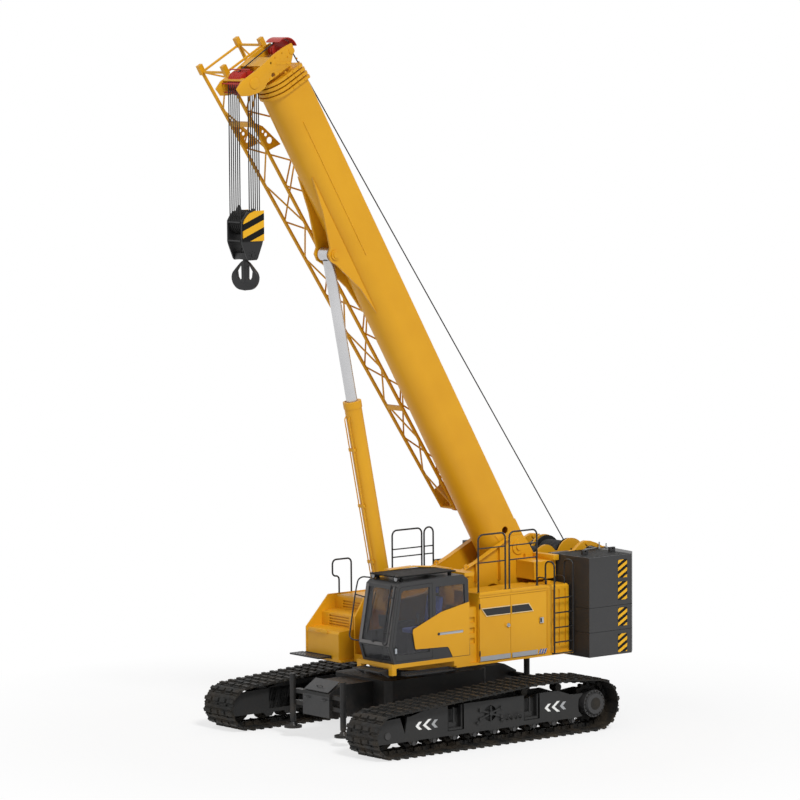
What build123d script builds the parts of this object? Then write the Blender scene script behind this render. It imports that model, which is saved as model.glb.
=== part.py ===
from build123d import *
import os
from math import atan2, cos, degrees, hypot, pi, radians, sin

# Telescopic-boom crawler crane, boom raised, retracted and stowed jib on its right side.
# Millimetres. +X is forward, +Y the machine's left, +Z up, origin on the ground under the slew axis.

# Crawlers
crawler_length = 6000
crawler_width = 5300
shoe_width = 900
shoe_pitch = 200
grouser_height = 35
grouser_width = 46
shoe_plate = 20
link_height = 85
link_width = 260
idler_loop_radius = 436
sprocket_loop_radius = 510
carrier_tops = ((-1750, 1090), (-900, 1090))
roller_radius = 100
roller_count = 9
roller_spread = 3900
carrier_radius = 75
wheel_width = 180
track_seat = 0.3
side_frame_width = 540
side_frame_plate = 40
side_frame_top = 760
side_frame_bottom = 260
side_frame_floor = 355
side_frame_front = 1950
side_frame_rear = -1850
yoke_reach = 2700
retract_stroke = 790

# Carbody
beam_x = 930
beam_size = 330
beam_z = 575
beam_wall = 35
beam_fit = 0.5
beam_tube_reach = 1110
beam_inner_end = 855
carbody_half_length = 1250
carbody_half_width = 1000
carbody_bottom = 420
carbody_top = 1130
front_box_reach = 2300
front_box_half_width = 410
front_box_bottom = 480
front_box_lip = 940
front_box_slope = 300
ring_radius = 780
ring_bore = 620
ring_split = 1240
ring_gap = 0.3

# Assembly jacks
jack_x = 2260
jack_y = 770
jack_sleeve_radius = 58
jack_rod_radius = 42
jack_fit = 0.08
jack_top = 1210
jack_sleeve_bottom = 480
jack_pad_radius = 170
jack_pad_height = 40
jack_pad_z = 170
jack_bore_roof = 60

# Turntable and decks
deck_bottom = 1350
deck_plate = 40
frame_half_gap = 380
frame_plate = 40
body_half_width = 1500
deck_rear = -2820
boom_angle = 60
foot_x = -2350
foot_z = 3350
foot_pin_radius = 70
pin_fit = 0.08
lift_x = 600
lift_z = 2450
lift_pin_radius = 60

# Cab
cab_rear = -230
cab_inner = 570
cab_floor = 1560
cab_wall = 50
cab_profile = (  # x, z
    (-230, 1560), (1610, 1560), (1720, 1910), (1520, 3010), (1430, 3080), (-60, 3110), (-190, 3010),
)
glass_thickness = 8
glass_gap = 0.3

# Machinery houses
house_front = -460
house_rear = -2150
house_inner = 760
house_top = 2700
house_wall = 30
door_split = -1240
door_gap = 8
hood_top = 2500
hood_inner = -500
hood_wall = 40

# Counterweight
weight_front = -2880
weight_rear = -4350
weight_half_width = 1900
weight_levels = (1280, 1760, 2240, 3210)
weight_corner = 260
weight_notch_half_width = 700
weight_notch_rear = -4080
weight_groove = 16
weight_seat = weight_levels[2] - weight_groove / 2 + 0.3

# Winches
winches = (  # name, x, z, drum radius, flange radius
    ("aux_winch_drum", -3060, 3040, 190, 270),
    ("main_winch_drum", -3710, 3060, 230, 330),
)
drum_half_width = 300

# Boom, in boom coordinates: u along the boom from the foot pin, v square to it, up
boom_half_width = 350
boom_top_v = 260
boom_side_v = -225
section_step = 32
section_wall = 10
slide_fit = 0.5
boom_start = 60
foot_cheek_end = 470
base_length = 10380
collar_pitch = 85
collar_length = 58
collar_height = 42
collar_shrink = 9
section_count = 5
tail_step = 120
tail_length = 300
slide_stroke = 8600
lift_pin_u = 7180
lift_pin_v = -800
lug_inner = 190
lug_plate = 40
lift_eye_radius = 60

# Lift cylinder
barrel_radius = 165
barrel_bore = 135
barrel_length = 4000
rod_radius = 107
piston_place = 2860
eye_radius = 125
eye_half_width = 135
foot_eye_half_width = 165

# Boom head
head_front = 11300
head_half_width = 330
head_plate = 30
nose_u = 10930
nose_v = -850
nose_radius = 230
nose_count = 6
nose_pitch = 62
sheave_groove = 20
top_sheave_u = 11000
top_sheave_v = 190
top_sheave_radius = 210
spare_pin_u = 10830
spare_pin_v = -395
spare_pin_radius = 45

# Hoist tackle
rope_radius = 11
block_top = 10150
block_sheave_z = 9840
block_sheave_radius = 230
block_half_width = 300
cheek_y = 195
cheek_plate = 35
hook_top = 9100
hook_bottom = 8570

# Stowed lattice jib
jib_base_u = 11080
jib_tip_u = 1000
jib_base = ((-550, -740), (-1290, -740), (-1290, 250), (-550, 250))  # y, v of the four chords
jib_tip = ((-560, -300), (-960, -300), (-960, 60), (-560, 60))
jib_bays = 12
chord_radius = 38
lace_radius = 17

# Rails
rail_radius = 17
rail_bend = 110
ladder_foot = 1352


def box(x0, x1, y0, y1, z0, z1):
    """A block between two corners."""
    return Pos((x0 + x1) / 2, (y0 + y1) / 2, (z0 + z1) / 2) * Box(abs(x1 - x0), abs(y1 - y0), abs(z1 - z0))


def plate(points, y0, y1):
    """An outline in x and z, as thick as from y0 to y1."""
    outline = make_face(Polyline(*[(x, y0, z) for x, z in points], close=True))
    return extrude(outline, amount=abs(y1 - y0), dir=(0, 1 if y1 > y0 else -1, 0))


def slab(points, z0, z1):
    """An outline in x and y, as thick as from z0 to z1."""
    outline = make_face(Polyline(*[(x, y, z0) for x, y in points], close=True))
    return extrude(outline, amount=z1 - z0, dir=(0, 0, 1))


def axle(x, z, radius, y0, y1):
    """A round bar across the machine."""
    return Solid.make_cylinder(radius, abs(y1 - y0), Plane((x, min(y0, y1), z), z_dir=(0, 1, 0)))


def post(x, y, radius, z0, z1):
    """A round bar standing up."""
    return Solid.make_cylinder(radius, z1 - z0, Plane((x, y, z0)))


def bar(start, end, radius):
    """A round bar between two points."""
    a, b = Vector(*start), Vector(*end)
    return Solid.make_cylinder(radius, (b - a).length, Plane(a, z_dir=(b - a).normalized()))


def strut(start, end, radius):
    """A six-sided bar between two points."""
    a, b = Vector(*start), Vector(*end)
    section = Plane(a, z_dir=(b - a).normalized()) * RegularPolygon(radius, 6)
    return extrude(section, amount=(b - a).length, dir=(b - a).normalized())


def rail(points, radius=rail_radius, bend=rail_bend):
    """A bent tube through the given points."""
    path = FilletPolyline(*points, radius=bend)
    return sweep(Plane(path @ 0, z_dir=path % 0) * Circle(radius), path)


def join(pieces):
    """One shape of all the pieces."""
    return Part() + list(pieces)


def mirrored(shape):
    return mirror(shape, about=Plane.XZ)


def on_boom(shape):
    """Carries a shape drawn along the boom to its raised place on the foot pin."""
    return Location((foot_x, 0, foot_z)) * Rotation(0, -boom_angle, 0) * shape


def boom_point(u, v):
    """World x and z of a point on the boom's middle plane."""
    a = radians(boom_angle)
    return foot_x + u * cos(a) - v * sin(a), foot_z + u * sin(a) + v * cos(a)


# Crawlers

def loop_circles(inset):
    """Circles that the shoe loop wraps, smaller by the inset: x, z, radius."""
    front = crawler_length / 2 - idler_loop_radius
    rear = -crawler_length / 2 + sprocket_loop_radius
    carrier = carrier_radius + grouser_height + shoe_plate + link_height + track_seat
    circles = [
        (front, idler_loop_radius, idler_loop_radius - inset),
        (rear, sprocket_loop_radius, sprocket_loop_radius - inset),
    ]
    circles += [(x, top - carrier, carrier - inset) for x, top in carrier_tops]
    return circles


def loop_face(inset):
    """The area inside the loop, drawn in x and z as a plan."""
    arcs = [CenterArc((x, z), r, 0, 360) for x, z, r in loop_circles(inset)]
    return make_hull(arcs).face()


def track_loop():
    """Shoes with their grousers, and the chain of links that carries them, as one fixed loop."""
    edge = loop_face(grouser_height).outer_wire()
    count = round(edge.length / shoe_pitch)
    middle = Vector(0, sprocket_loop_radius)
    points = []
    for i in range(count):
        a, b = edge @ (i / count), edge @ ((i + 1) / count)
        along = (b - a).normalized()
        out = Vector(along.Y, -along.X)
        if out.dot((a + b) / 2 - middle) < 0:
            out = -out
        foot = grouser_width * 0.75
        tip = grouser_width * 0.5
        centre = a + (b - a) * 0.3
        points += [a, centre - along * foot, centre - along * tip + out * grouser_height,
                   centre + along * tip + out * grouser_height, centre + along * foot]
    shoes = make_face(Polyline(*points, close=True)) - loop_face(grouser_height + shoe_plate)
    links = loop_face(grouser_height + shoe_plate / 2) - loop_face(grouser_height + shoe_plate + link_height)
    middle_y = crawler_width / 2 - shoe_width / 2
    stand = Plane((0, middle_y, 0), x_dir=(1, 0, 0), z_dir=(0, -1, 0))
    return extrude(stand * shoes, shoe_width / 2, both=True) + extrude(stand * links, link_width / 2, both=True)


def track_wheels():
    """Drive sprocket, idler, bottom rollers and carrier rollers on their axles."""
    y = crawler_width / 2 - shoe_width / 2
    half = wheel_width / 2
    under_links = grouser_height + shoe_plate + link_height + track_seat
    (front, front_z, front_r), (rear, rear_z, rear_r) = loop_circles(under_links)[:2]
    wheels = []
    idler = axle(front, front_z, front_r, y - half, y + half)
    idler -= axle(front, front_z, front_r * 0.72, y - half, y - half + 45)
    idler -= axle(front, front_z, front_r * 0.72, y + half - 45, y + half)
    yoke = side_frame_width / 2 - side_frame_plate - track_seat
    wheels.append(idler + axle(front, front_z, 75, y - yoke, y + yoke))
    teeth = 15
    ring = []
    for i in range(teeth):
        a = 2 * pi * i / teeth
        for r, shift in ((rear_r - 42, -0.62), (rear_r, -0.28), (rear_r, 0.28), (rear_r - 42, 0.62)):
            t = a + shift * pi / teeth
            ring.append((rear + r * cos(t), rear_z + r * sin(t)))
    hub_in = y - side_frame_width / 2 + side_frame_plate + track_seat
    hub_out = y + side_frame_width / 2 + 20
    sprocket = plate(ring, y - half * 0.6, y + half * 0.6)
    wheels.append(sprocket + axle(rear, rear_z, 250, hub_in, y) + axle(rear, rear_z, 210, y, hub_out)
                  + axle(rear, rear_z, 120, hub_out, hub_out + 30))
    spacing = roller_spread / (roller_count - 1)
    for i in range(roller_count):
        x = -roller_spread / 2 + i * spacing
        z = under_links + roller_radius
        wheels.append(axle(x, z, roller_radius, y - half, y + half) + axle(x, z, 40, y - yoke, y + yoke))
    for x, top in carrier_tops:
        z = top - under_links - carrier_radius
        wheels.append(axle(x, z, carrier_radius, y - half, y + half)
                      + box(x - 60, x + 60, y - 30, y + 30, side_frame_top + 0.3, z - carrier_radius * 0.3))
    return join(wheels)


def track_frame():
    """Side frame: box beam, skirts round the rollers, idler yoke, drive bracket and sliding beams."""
    y = crawler_width / 2 - shoe_width / 2
    inner, outer = y - side_frame_width / 2, y + side_frame_width / 2
    beam = box(side_frame_rear, side_frame_front, inner, outer, side_frame_floor, side_frame_top)
    front = crawler_length / 2 - idler_loop_radius
    skirt = (
        (side_frame_rear, side_frame_bottom), (yoke_reach, side_frame_bottom), (yoke_reach, 560),
        (yoke_reach - 190, 700), (side_frame_front, side_frame_top), (side_frame_rear, side_frame_top),
    )
    rear_x, rear_z, _ = loop_circles(0)[1]
    bracket = (
        (side_frame_rear, side_frame_bottom), (side_frame_rear, side_frame_top), (rear_x + 60, rear_z + 270),
        (rear_x - 130, rear_z + 240), (rear_x - 260, rear_z), (rear_x - 130, rear_z - 240),
        (rear_x + 60, rear_z - 270),
    )
    frame = beam + plate(skirt, inner, inner + side_frame_plate) + plate(skirt, outer - side_frame_plate, outer)
    frame += plate(bracket, inner, inner + side_frame_plate)
    # pockets in the outer side, where the cross beams end and the chain tensioner is reached
    for x in (-beam_x, beam_x):
        frame -= box(x - 165, x + 165, outer - 90, outer, beam_z - 170, beam_z + 130)
        frame += box(x - beam_size / 2 + 30, x + beam_size / 2 - 30, outer - 90, outer - 25,
                     beam_z - 100, beam_z + 60)
    frame += axle(0, 560, 110, outer, outer + 45)
    for x in (-190, 190):
        frame += axle(x, 560, 55, outer, outer + 60)
    for x in (-beam_x, beam_x):
        size = beam_size - 2 * beam_wall - 2 * beam_fit
        frame += box(x - size / 2, x + size / 2, beam_inner_end, inner, beam_z - size / 2, beam_z + size / 2)
    return frame


# Carbody, slew ring and jacks

def carbody():
    """Centre box with the tubes for the cross beams, front and rear boxes, and the ring's seat."""
    hull = box(-carbody_half_length, carbody_half_length, -carbody_half_width + 150, carbody_half_width - 150,
               carbody_bottom, carbody_top)
    hull = chamfer(hull.edges().filter_by(Axis.Z), 120)
    body = hull + post(0, 0, ring_radius + 60, carbody_top, carbody_top + 30)
    half = beam_size / 2
    bore = half - beam_wall
    for x in (-beam_x, beam_x):
        body += box(x - half, x + half, -beam_tube_reach, beam_tube_reach, beam_z - half, beam_z + half)
        body -= box(x - bore, x + bore, -beam_tube_reach, beam_tube_reach, beam_z - bore, beam_z + bore)
    lid = (
        (carbody_half_length, front_box_bottom), (front_box_reach, front_box_bottom),
        (front_box_reach, front_box_lip), (front_box_reach - front_box_slope, front_box_lip + 150),
        (carbody_half_length, front_box_lip + 150),
    )
    front = plate(lid, -front_box_half_width, front_box_half_width)
    body += front + mirror(front, about=Plane.YZ)
    return body


def jack_places():
    return [(side_x, side_y, jack_x * side_x, jack_y * side_y) for side_x in (1, -1) for side_y in (1, -1)]


def jack_sleeves():
    """Four upright jack cylinders, each on an arm from the end box of the carbody."""
    pieces = []
    for side_x, side_y, x, y in jack_places():
        sleeve = post(x, y, jack_sleeve_radius, jack_sleeve_bottom, jack_top)
        sleeve -= post(x, y, jack_rod_radius + jack_fit, jack_sleeve_bottom, jack_top - jack_bore_roof)
        arm_y = front_box_half_width * side_y
        for z0, z1 in ((620, 700), (840, 920)):
            arm = box(x - 70 * side_x - 60, x - 70 * side_x + 60, arm_y, y - 40 * side_y, z0, z1)
            sleeve += arm - post(x, y, jack_rod_radius + jack_fit, z0 - 5, z1 + 5)
        pieces.append(sleeve)
    return join(pieces)


def jack_rod(x, y):
    """Jack rod on its foot pad, drawn up to travel height."""
    rod = post(x, y, jack_rod_radius, jack_pad_z + jack_pad_height, jack_top - jack_bore_roof - 20)
    pad = post(x, y, jack_pad_radius, jack_pad_z, jack_pad_z + jack_pad_height)
    cup = Solid.make_cone(90, 50, 70, Plane((x, y, jack_pad_z + jack_pad_height)))
    return rod + pad + cup


def slew_ring():
    """Fixed outer ring of the slewing bearing with its row of bolt heads."""
    ring = post(0, 0, ring_radius, carbody_top + 30, ring_split - ring_gap)
    return ring - post(0, 0, ring_bore, carbody_top + 30, ring_split)


# Upperstructure

def turntable_frame():
    """Twin upright plates from the lift cylinder's foot to the winches, on the slewing plate."""
    inner, outer = frame_half_gap, frame_half_gap + frame_plate
    side = (
        (1050, deck_bottom), (1050, 2200), (800, 2570), (700, lift_z + 140), (440, lift_z + 140),
        (0, 2640), (-850, 2960), (-1300, 3150), (foot_x + 190, foot_z + 210), (foot_x - 130, foot_z + 210),
        (foot_x - 270, foot_z + 50), (-2750, 3180), (-4040, 3180), (-4040, weight_seat),
        (deck_rear, weight_seat), (deck_rear, deck_bottom),
    )
    cheek = plate(side, inner, outer)
    for _, x, z, _, flange in winches:
        cheek += axle(x, z, flange + 10, inner, outer)
    for x, z, r in ((-1700, 2450, 230), (-700, 2250, 200)):
        cheek -= axle(x, z, r, inner, outer)
    cheek += axle(foot_x, foot_z, 150, outer, outer + 25) + axle(lift_x, lift_z, 130, outer, outer + 25)
    frame = cheek + mirrored(cheek)
    frame += box(deck_rear, 1050, -inner, inner, deck_bottom, deck_bottom + 80)
    frame += post(0, 0, ring_radius, ring_split, deck_bottom)
    frame -= post(0, 0, ring_bore * 0.6, ring_split, deck_bottom + 80)
    frame += box(-300, 150, -inner, inner, deck_bottom + 80, 2150)
    frame += box(deck_rear, -2500, -inner, inner, deck_bottom + 80, 2420)
    frame += box(-4040, -4000, -inner, inner, weight_seat, 2700)
    frame += box(1010, 1050, -inner, inner, deck_bottom + 80, 1500)
    # bosses that take the two hinge pins, in from the plates
    for x, z, r, reach in ((foot_x, foot_z, 135, boom_half_width + 6), (lift_x, lift_z, 120, foot_eye_half_width + 6)):
        for sign in (1, -1):
            frame += axle(x, z, r, sign * reach, sign * inner)
    frame += axle(foot_x, foot_z, foot_pin_radius, -outer - 50, outer + 50)
    for sign in (1, -1):
        frame += axle(lift_x, lift_z, lift_pin_radius, sign * (foot_eye_half_width + 1), sign * (outer + 50))
    for _, x, z, _, _ in winches:
        frame -= axle(x, z, 60 + pin_fit, -outer, outer)
    # arm over the cab's rear, and stiffening cover beside it
    frame += box(-420, -180, outer, body_half_width - 90, 2990, 3060).moved(Location((0, 0, 60)))
    frame += plate(((-420, 2700), (-180, 2700), (-180, 3060), (-420, 3060)), outer, outer + 40)
    return frame


def deck_frame():
    """Floor plates of both sides, the sill under the cab and its front corner post."""
    inner = frame_half_gap + frame_plate
    top = deck_bottom + deck_plate
    left = box(deck_rear, 100, inner, body_half_width, deck_bottom, top)
    left += box(100, 1640, inner, body_half_width, cab_floor - 80, cab_floor)
    left += box(cab_rear, 160, inner, body_half_width, top, cab_floor)
    left += box(1560, 1660, body_half_width - 110, body_half_width, deck_bottom, cab_floor)
    left += box(1560, 1640, inner, inner + 120, deck_bottom, cab_floor)
    right = box(deck_rear, 1360, -body_half_width, -inner, deck_bottom, top)
    return left + right


def front_line(z, upper=True):
    """Cab front face x at a height, on the windscreen or on the pane below it."""
    (x0, z0), (x1, z1) = (cab_profile[2], cab_profile[3]) if upper else (cab_profile[1], cab_profile[2])
    return x0 + (x1 - x0) * (z - z0) / (z1 - z0)


def front_band(z0, z1, back, front, upper=True):
    """Outline following the cab's front face between two heights, from back to front of the face."""
    return [(front_line(z0, upper) + back, z0), (front_line(z0, upper) + front, z0),
            (front_line(z1, upper) + front, z1), (front_line(z1, upper) + back, z1)]


door_outline = ((680, 1600), (1560, 1600), (1655, 1910), (1475, 2960), (1430, 3000), (680, 3020))
door_window = ((750, 1720), (1530, 1720), (1590, 1910), (1425, 2880), (1380, 2925), (750, 2940))
rear_window = ((-120, 2420), (600, 2150), (600, 2930), (-100, 2930))
right_window = ((-80, 2100), (1500, 2100), (1380, 2900), (-80, 2930))


def shrunk(points, gap):
    """The outline moved in by a small gap."""
    face = make_face(Polyline(*points, close=True))
    small = offset(face, -gap, kind=Kind.INTERSECTION)
    return [(v.X, v.Y) for v in small.face().outer_wire().vertices()]


def cab_panes():
    """Openings of the cab: outline, y range, drawn in x and z."""
    left, right = body_half_width, cab_inner
    side = cab_wall + 20
    return (
        (front_band(1960, 2950, -cab_wall - 20, 30), right + side, left - side),
        (front_band(1610, 1880, -cab_wall - 20, 30, upper=False), right + side, left - side),
        (rear_window, left - cab_wall - 1, left + 1),
        (right_window, right - 1, right + cab_wall + 1),
        (((cab_rear - 1, 2300), (cab_rear + cab_wall + 41, 2300), (cab_rear + cab_wall + 41, 2930),
          (cab_rear - 1, 2930)), right + side, left - side),
    )


def cab_shell():
    """Hollow cab of pillars, roof, floor and rear wall, with its windows and doorway open."""
    left, right = body_half_width, cab_inner
    shell = plate(cab_profile, right, left)
    shell = fillet(shell.edges().filter_by(Axis.Y).group_by(Axis.Z)[-1], 30)
    inside = shrunk(cab_profile, cab_wall)
    shell -= plate(inside, right + cab_wall, left - cab_wall)
    for points, y0, y1 in cab_panes():
        shell -= plate(points, y0, y1)
    shell -= plate(door_outline, left - cab_wall - 1, left + 1)
    return shell


def cab_door():
    """Door leaf in the doorway, with its own large window."""
    left = body_half_width
    leaf = plate(shrunk(door_outline, 6), left - cab_wall + 5, left)
    leaf -= plate(door_window, left - cab_wall, left + 1)
    return leaf + box(1565, 1600, left, left + 22, 1770, 1850)


def cab_glass():
    """Panes let into the cab's openings."""
    left, right = body_half_width, cab_inner
    side = cab_wall + 20 + glass_gap
    mid = cab_wall / 2
    panes = [
        plate(front_band(1960 + glass_gap, 2950 - glass_gap, -mid, -mid + glass_thickness), right + side, left - side),
        plate(front_band(1610 + glass_gap, 1880 - glass_gap, -mid, -mid + glass_thickness, upper=False),
              right + side, left - side),
        plate(shrunk(rear_window, glass_gap), left - mid, left - mid + glass_thickness),
        plate(shrunk(right_window, glass_gap), right + mid - glass_thickness, right + mid),
        plate(shrunk(door_window, glass_gap), left - mid, left - mid + glass_thickness),
        box(cab_rear + mid, cab_rear + mid + glass_thickness, right + side, left - side,
            2300 + glass_gap, 2930 - glass_gap),
    ]
    return join(panes)


def cab_side_panel():
    """Raised yellow panel that sweeps along the cab's left side."""
    sweep_line = (
        (1166, 2120), (1150, 2180), (470, 2450), (-210, 2580), (-210, 1570), (200, 1570), (290, 1740),
        (320, 1775), (1090, 1800), (1110, 1820),
    )
    panel = plate(sweep_line, body_half_width, body_half_width + 12)
    return panel - box(-60, 520, body_half_width + 6, body_half_width + 13, 2015, 2060)


def operator_seat():
    """Seat on its base: cushion, back and headrest."""
    y0, y1 = 800, 1270
    seat = box(380, 880, y0, y1, 2010, 2130) + box(450, 800, y0 + 90, y1 - 90, cab_floor + cab_wall + 0.3, 2010)
    back = plate(((300, 2110), (440, 2110), (330, 2720), (230, 2700)), y0 + 20, y1 - 20)
    head = plate(((235, 2745), (320, 2745), (300, 2900), (225, 2890)), y0 + 110, y1 - 110)
    stay = plate(((262, 2690), (300, 2690), (292, 2760), (255, 2760)), y0 + 200, y1 - 200)
    return fillet(seat.edges().filter_by(Axis.Z), 25) + back + head + stay


def cab_console():
    """Two arm consoles with levers and the instrument post."""
    floor = cab_floor + cab_wall + 0.3
    console = box(520, 1000, 640, 780, floor, 2220) + box(520, 1000, 1290, 1380, floor, 2180)
    for y in (710, 1335):
        console += bar((880, y, 2170), (900, y, 2360), 12) + post(902, y, 26, 2350, 2420)
    post_foot = plate(((1330, floor), (1470, floor), (1430, 2240), (1370, 2240)), 960, 1080)
    screen = plate(((1330, 2240), (1450, 2200), (1480, 2420), (1440, 2430)), 860, 1180)
    return join([console, post_foot + screen])


def cab_roof_guard():
    """Flat guard over the cab roof on four short legs, with the front hoop rails."""
    left, right = body_half_width, cab_inner
    top = 3170
    pieces = box(60, 1470, right + 40, left - 60, top, top + 25)
    for x in (160, 1330):
        for y in (right + 110, left - 130):
            pieces += box(x - 25, x + 25, y - 25, y + 25, 3060, top)
    return pieces - plate(cab_profile, right, left)


def left_house():
    """Cabinet behind the cab, open to its two doors, with a rim round its walkway top."""
    y0, y1 = house_inner, body_half_width - house_wall
    floor = deck_bottom + deck_plate
    cabinet = box(house_rear, house_front, y0, y1, floor, house_top)
    wall = house_wall
    cabinet -= box(house_rear + wall, door_split - 25, y0 + wall, y1, floor + 60, house_top - 110)
    cabinet -= box(door_split + 25, house_front - wall, y0 + wall, y1, floor + 60, house_top - 110)
    cabinet += box(house_rear, house_front, y1, body_half_width, house_top - 80, house_top + 25)
    cabinet += box(house_front, cab_rear - 12, y0, y1 - 60, floor, house_top - 250)
    for z in (1750, 1950, 2150):
        cabinet -= box(house_front + 40, cab_rear - 50, y1 - 90, y1 - 60, z, z + 110)
    return cabinet


def house_door(x0, x1):
    """Steel door of the cabinet with its latch plate; x0 is the hinge side."""
    y = body_half_width
    floor = deck_bottom + deck_plate
    leaf = box(x0 - door_gap / 2, x1 + door_gap / 2, y - house_wall + 0.3, y, floor + 8, house_top - 88)
    return leaf + axle(x1 + 110, 2060, 38, y, y + 14)


def fuel_tank():
    """Upright ribbed tank beside the ladder, with its filler cap and strap lugs."""
    x0, x1 = deck_rear, house_rear - 60
    y0, y1 = house_inner, body_half_width - 70
    floor = deck_bottom + deck_plate
    tank = box(x0, x1, y0, y1, floor, 2690)
    tank = fillet(tank.edges().filter_by(Axis.Z), 90)
    rib_count = 3
    width = (x1 - x0) / (rib_count + 1)
    for i in range(rib_count):
        x = x0 + (i + 1) * width
        tank -= box(x - 18, x + 18, y1 - 22, y1, floor + 120, 2600)
    tank = chamfer(tank.edges().group_by(Axis.Z)[-1], 40)
    return tank + post((x0 + x1) / 2, (y0 + y1) / 2, 75, 2690, 2730)


def hood_profile():
    """Stepped front of the right-hand housing in x and z."""
    floor = deck_bottom + deck_plate
    return ((deck_rear, floor), (1360, floor), (1360, 1880), (1330, 1925), (1000, 1945), (1000, 2200),
            (660, 2240), (660, 2470), (630, hood_top), (deck_rear, hood_top))


def right_hood():
    """Hollow housing over the engine and radiator, stepped at the front, louvred, with its side wall."""
    inner, outer = hood_inner, -body_half_width
    hood = plate(hood_profile(), outer + 30, inner)
    floor = deck_bottom + deck_plate
    hood -= box(deck_rear + hood_wall, 600, outer + 30 + hood_wall, inner - hood_wall, floor, hood_top - hood_wall)
    side = ((deck_rear, floor), (1375, floor), (1375, 1940), (830, 2520), (deck_rear, 2520))
    hood += plate(side, outer, outer + 30)
    # front louvres: x of the face, first height, count
    for x, z0, count in ((1000, 1975, 4), (660, 2275, 3)):
        for i in range(count):
            z = z0 + i * 54
            hood -= box(x - 30, x + 1, outer + 260, inner - 130, z, z + 26)
    # side louvres to the radiator
    for i in range(9):
        z = 1560 + i * 80
        hood -= box(-2600, -1700, outer - 1, outer + 20, z, z + 40)
    return hood


def exhaust_box():
    """Dark open-topped box on the right-hand housing, round the exhaust outlet."""
    x0, x1 = deck_rear, -1820
    y0, y1 = -body_half_width, -1120
    tray = box(x0, x1, y0, y1, 2520.3, 2960) - box(x0 + 30, x1 - 30, y0 + 30, y1 - 30, 2580, 2960)
    return tray + post(-2300, (y0 + y1) / 2, 70, 2580, 2900)


def engine_block():
    """The engine and its pump as one plain mass."""
    floor = deck_bottom + deck_plate
    return box(-2300, -900, -1330, -640, floor, 2250)


def weight_outline(notched):
    """Plan of a counterweight slab, corners cut and the back bowed, with room for the winches."""
    w = weight_half_width
    corner = (weight_rear + 380, w)
    rear = (weight_rear + 130, w - weight_corner)
    start = (weight_front, w)
    back = ThreePointArc((rear[0], rear[1]), (weight_rear, 0), (rear[0], -rear[1]))
    lines = Polyline((weight_front, -w), (corner[0], -w), (rear[0], -rear[1]))
    more = Polyline((rear[0], rear[1]), corner, start)
    face = make_face([back, lines, more, Line(start, (weight_front, -w))])
    if notched:
        n = weight_notch_half_width
        hole = make_face(Polyline((weight_front + 1, -n), (weight_notch_rear, -n), (weight_notch_rear, n),
                                  (weight_front + 1, n), close=True))
        face -= hole
    return face


def counterweight():
    """Stack of three slabs with grooves between them, and lifting lugs on top."""
    stack = Pos(0, 0, 0) * extrude(Pos(0, 0, weight_levels[0]) * offset(weight_outline(True), -weight_groove),
                                   weight_levels[-1] - weight_levels[0] - 5, dir=(0, 0, 1))
    for index in range(3):
        z0, z1 = weight_levels[index], weight_levels[index + 1]
        lip = weight_groove / 2 if index < 2 else 0
        stack += extrude(Pos(0, 0, z0) * weight_outline(index == 2), z1 - z0 - lip, dir=(0, 0, 1))
    z = weight_levels[-1]
    for side in (1, -1):
        for x in (-3200, -3900):
            lug = box(x - 70, x + 70, side * 1400 - 25, side * 1400 + 25, z, z + 90)
            stack += lug - axle(x, z + 50, 25, side * 1400 - 30, side * 1400 + 30)
    return stack


def winch_drum(x, z, drum, flange):
    """Hoist drum between its flanges, on stub shafts in the frame plates."""
    reach = frame_half_gap + frame_plate
    spool = axle(x, z, drum, -drum_half_width, drum_half_width)
    for sign in (1, -1):
        spool += axle(x, z, flange, sign * drum_half_width, sign * (drum_half_width + 25))
        spool += axle(x, z, 60, sign * drum_half_width, sign * reach)
    return spool


def handrails():
    """Hooped rails on both walkways and on the front of the right-hand housing."""
    pieces = []
    left_y, left_z = body_half_width - 45, house_top + 25
    for x0, x1 in ((-480, -1150), (-1250, -1940)):
        pieces.append(rail(((x0, left_y, left_z), (x0, left_y, left_z + 1090), (x1, left_y, left_z + 1090),
                            (x1, left_y, left_z)))
                      + bar((x0, left_y, left_z + 560), (x1, left_y, left_z + 560), 12)
                      + bar((x0, left_y, left_z + 830), (x1, left_y, left_z + 830), 12))
    right_y, right_z = -body_half_width + 15, 2520
    for x0, x1 in ((-760, -1500), (-1560, -1790)):
        pieces.append(rail(((x0, right_y, right_z), (x0, right_y, right_z + 1090), (x1, right_y, right_z + 1090),
                            (x1, right_y, right_z)))
                      + bar((x0, right_y, right_z + 560), (x1, right_y, right_z + 560), 12))
    pieces.append(rail(((560, right_y, right_z), (560, right_y, right_z + 330), (720, right_y, right_z + 330),
                        (720, right_y, right_z + 650), (260, right_y, right_z + 650), (260, right_y, right_z))))
    return join(pieces)


def access_steps():
    """Rear ladder, the step under the cab's side and the step in front of the right-hand housing."""
    y = body_half_width + 60
    x0, x1 = -2290, -2760
    ladder = bar((x0, y, ladder_foot + 30), (x1, y, ladder_foot + 30), 12)
    for x in (x0, x1):
        ladder += rail(((x, y, ladder_foot), (x, y, 3150), (x, y - 260, 3150), (x, y - 260, 2860)), bend=90)
    for z in (1600, 1885, 2170, 2455):
        ladder += bar((x0, y, z), (x1, y, z), 12)
    for x in (x0, x1):
        ladder += bar((x, body_half_width + 0.3, ladder_foot + 18), (x, y, ladder_foot + 18), 16)
    cab_step = box(330, 1450, body_half_width + 0.3, body_half_width + 190, 1340, 1370)
    cab_step += box(330, 1450, body_half_width + 0.3, body_half_width + 30, 1370, 1550)
    hood_step = box(1375.3, 1690, -body_half_width - 100, -700, 1420, 1450)
    hood_step += box(1375.3, 1410, -body_half_width, -700, 1400, 1550)
    return join([ladder, cab_step, hood_step])


# Boom

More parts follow.
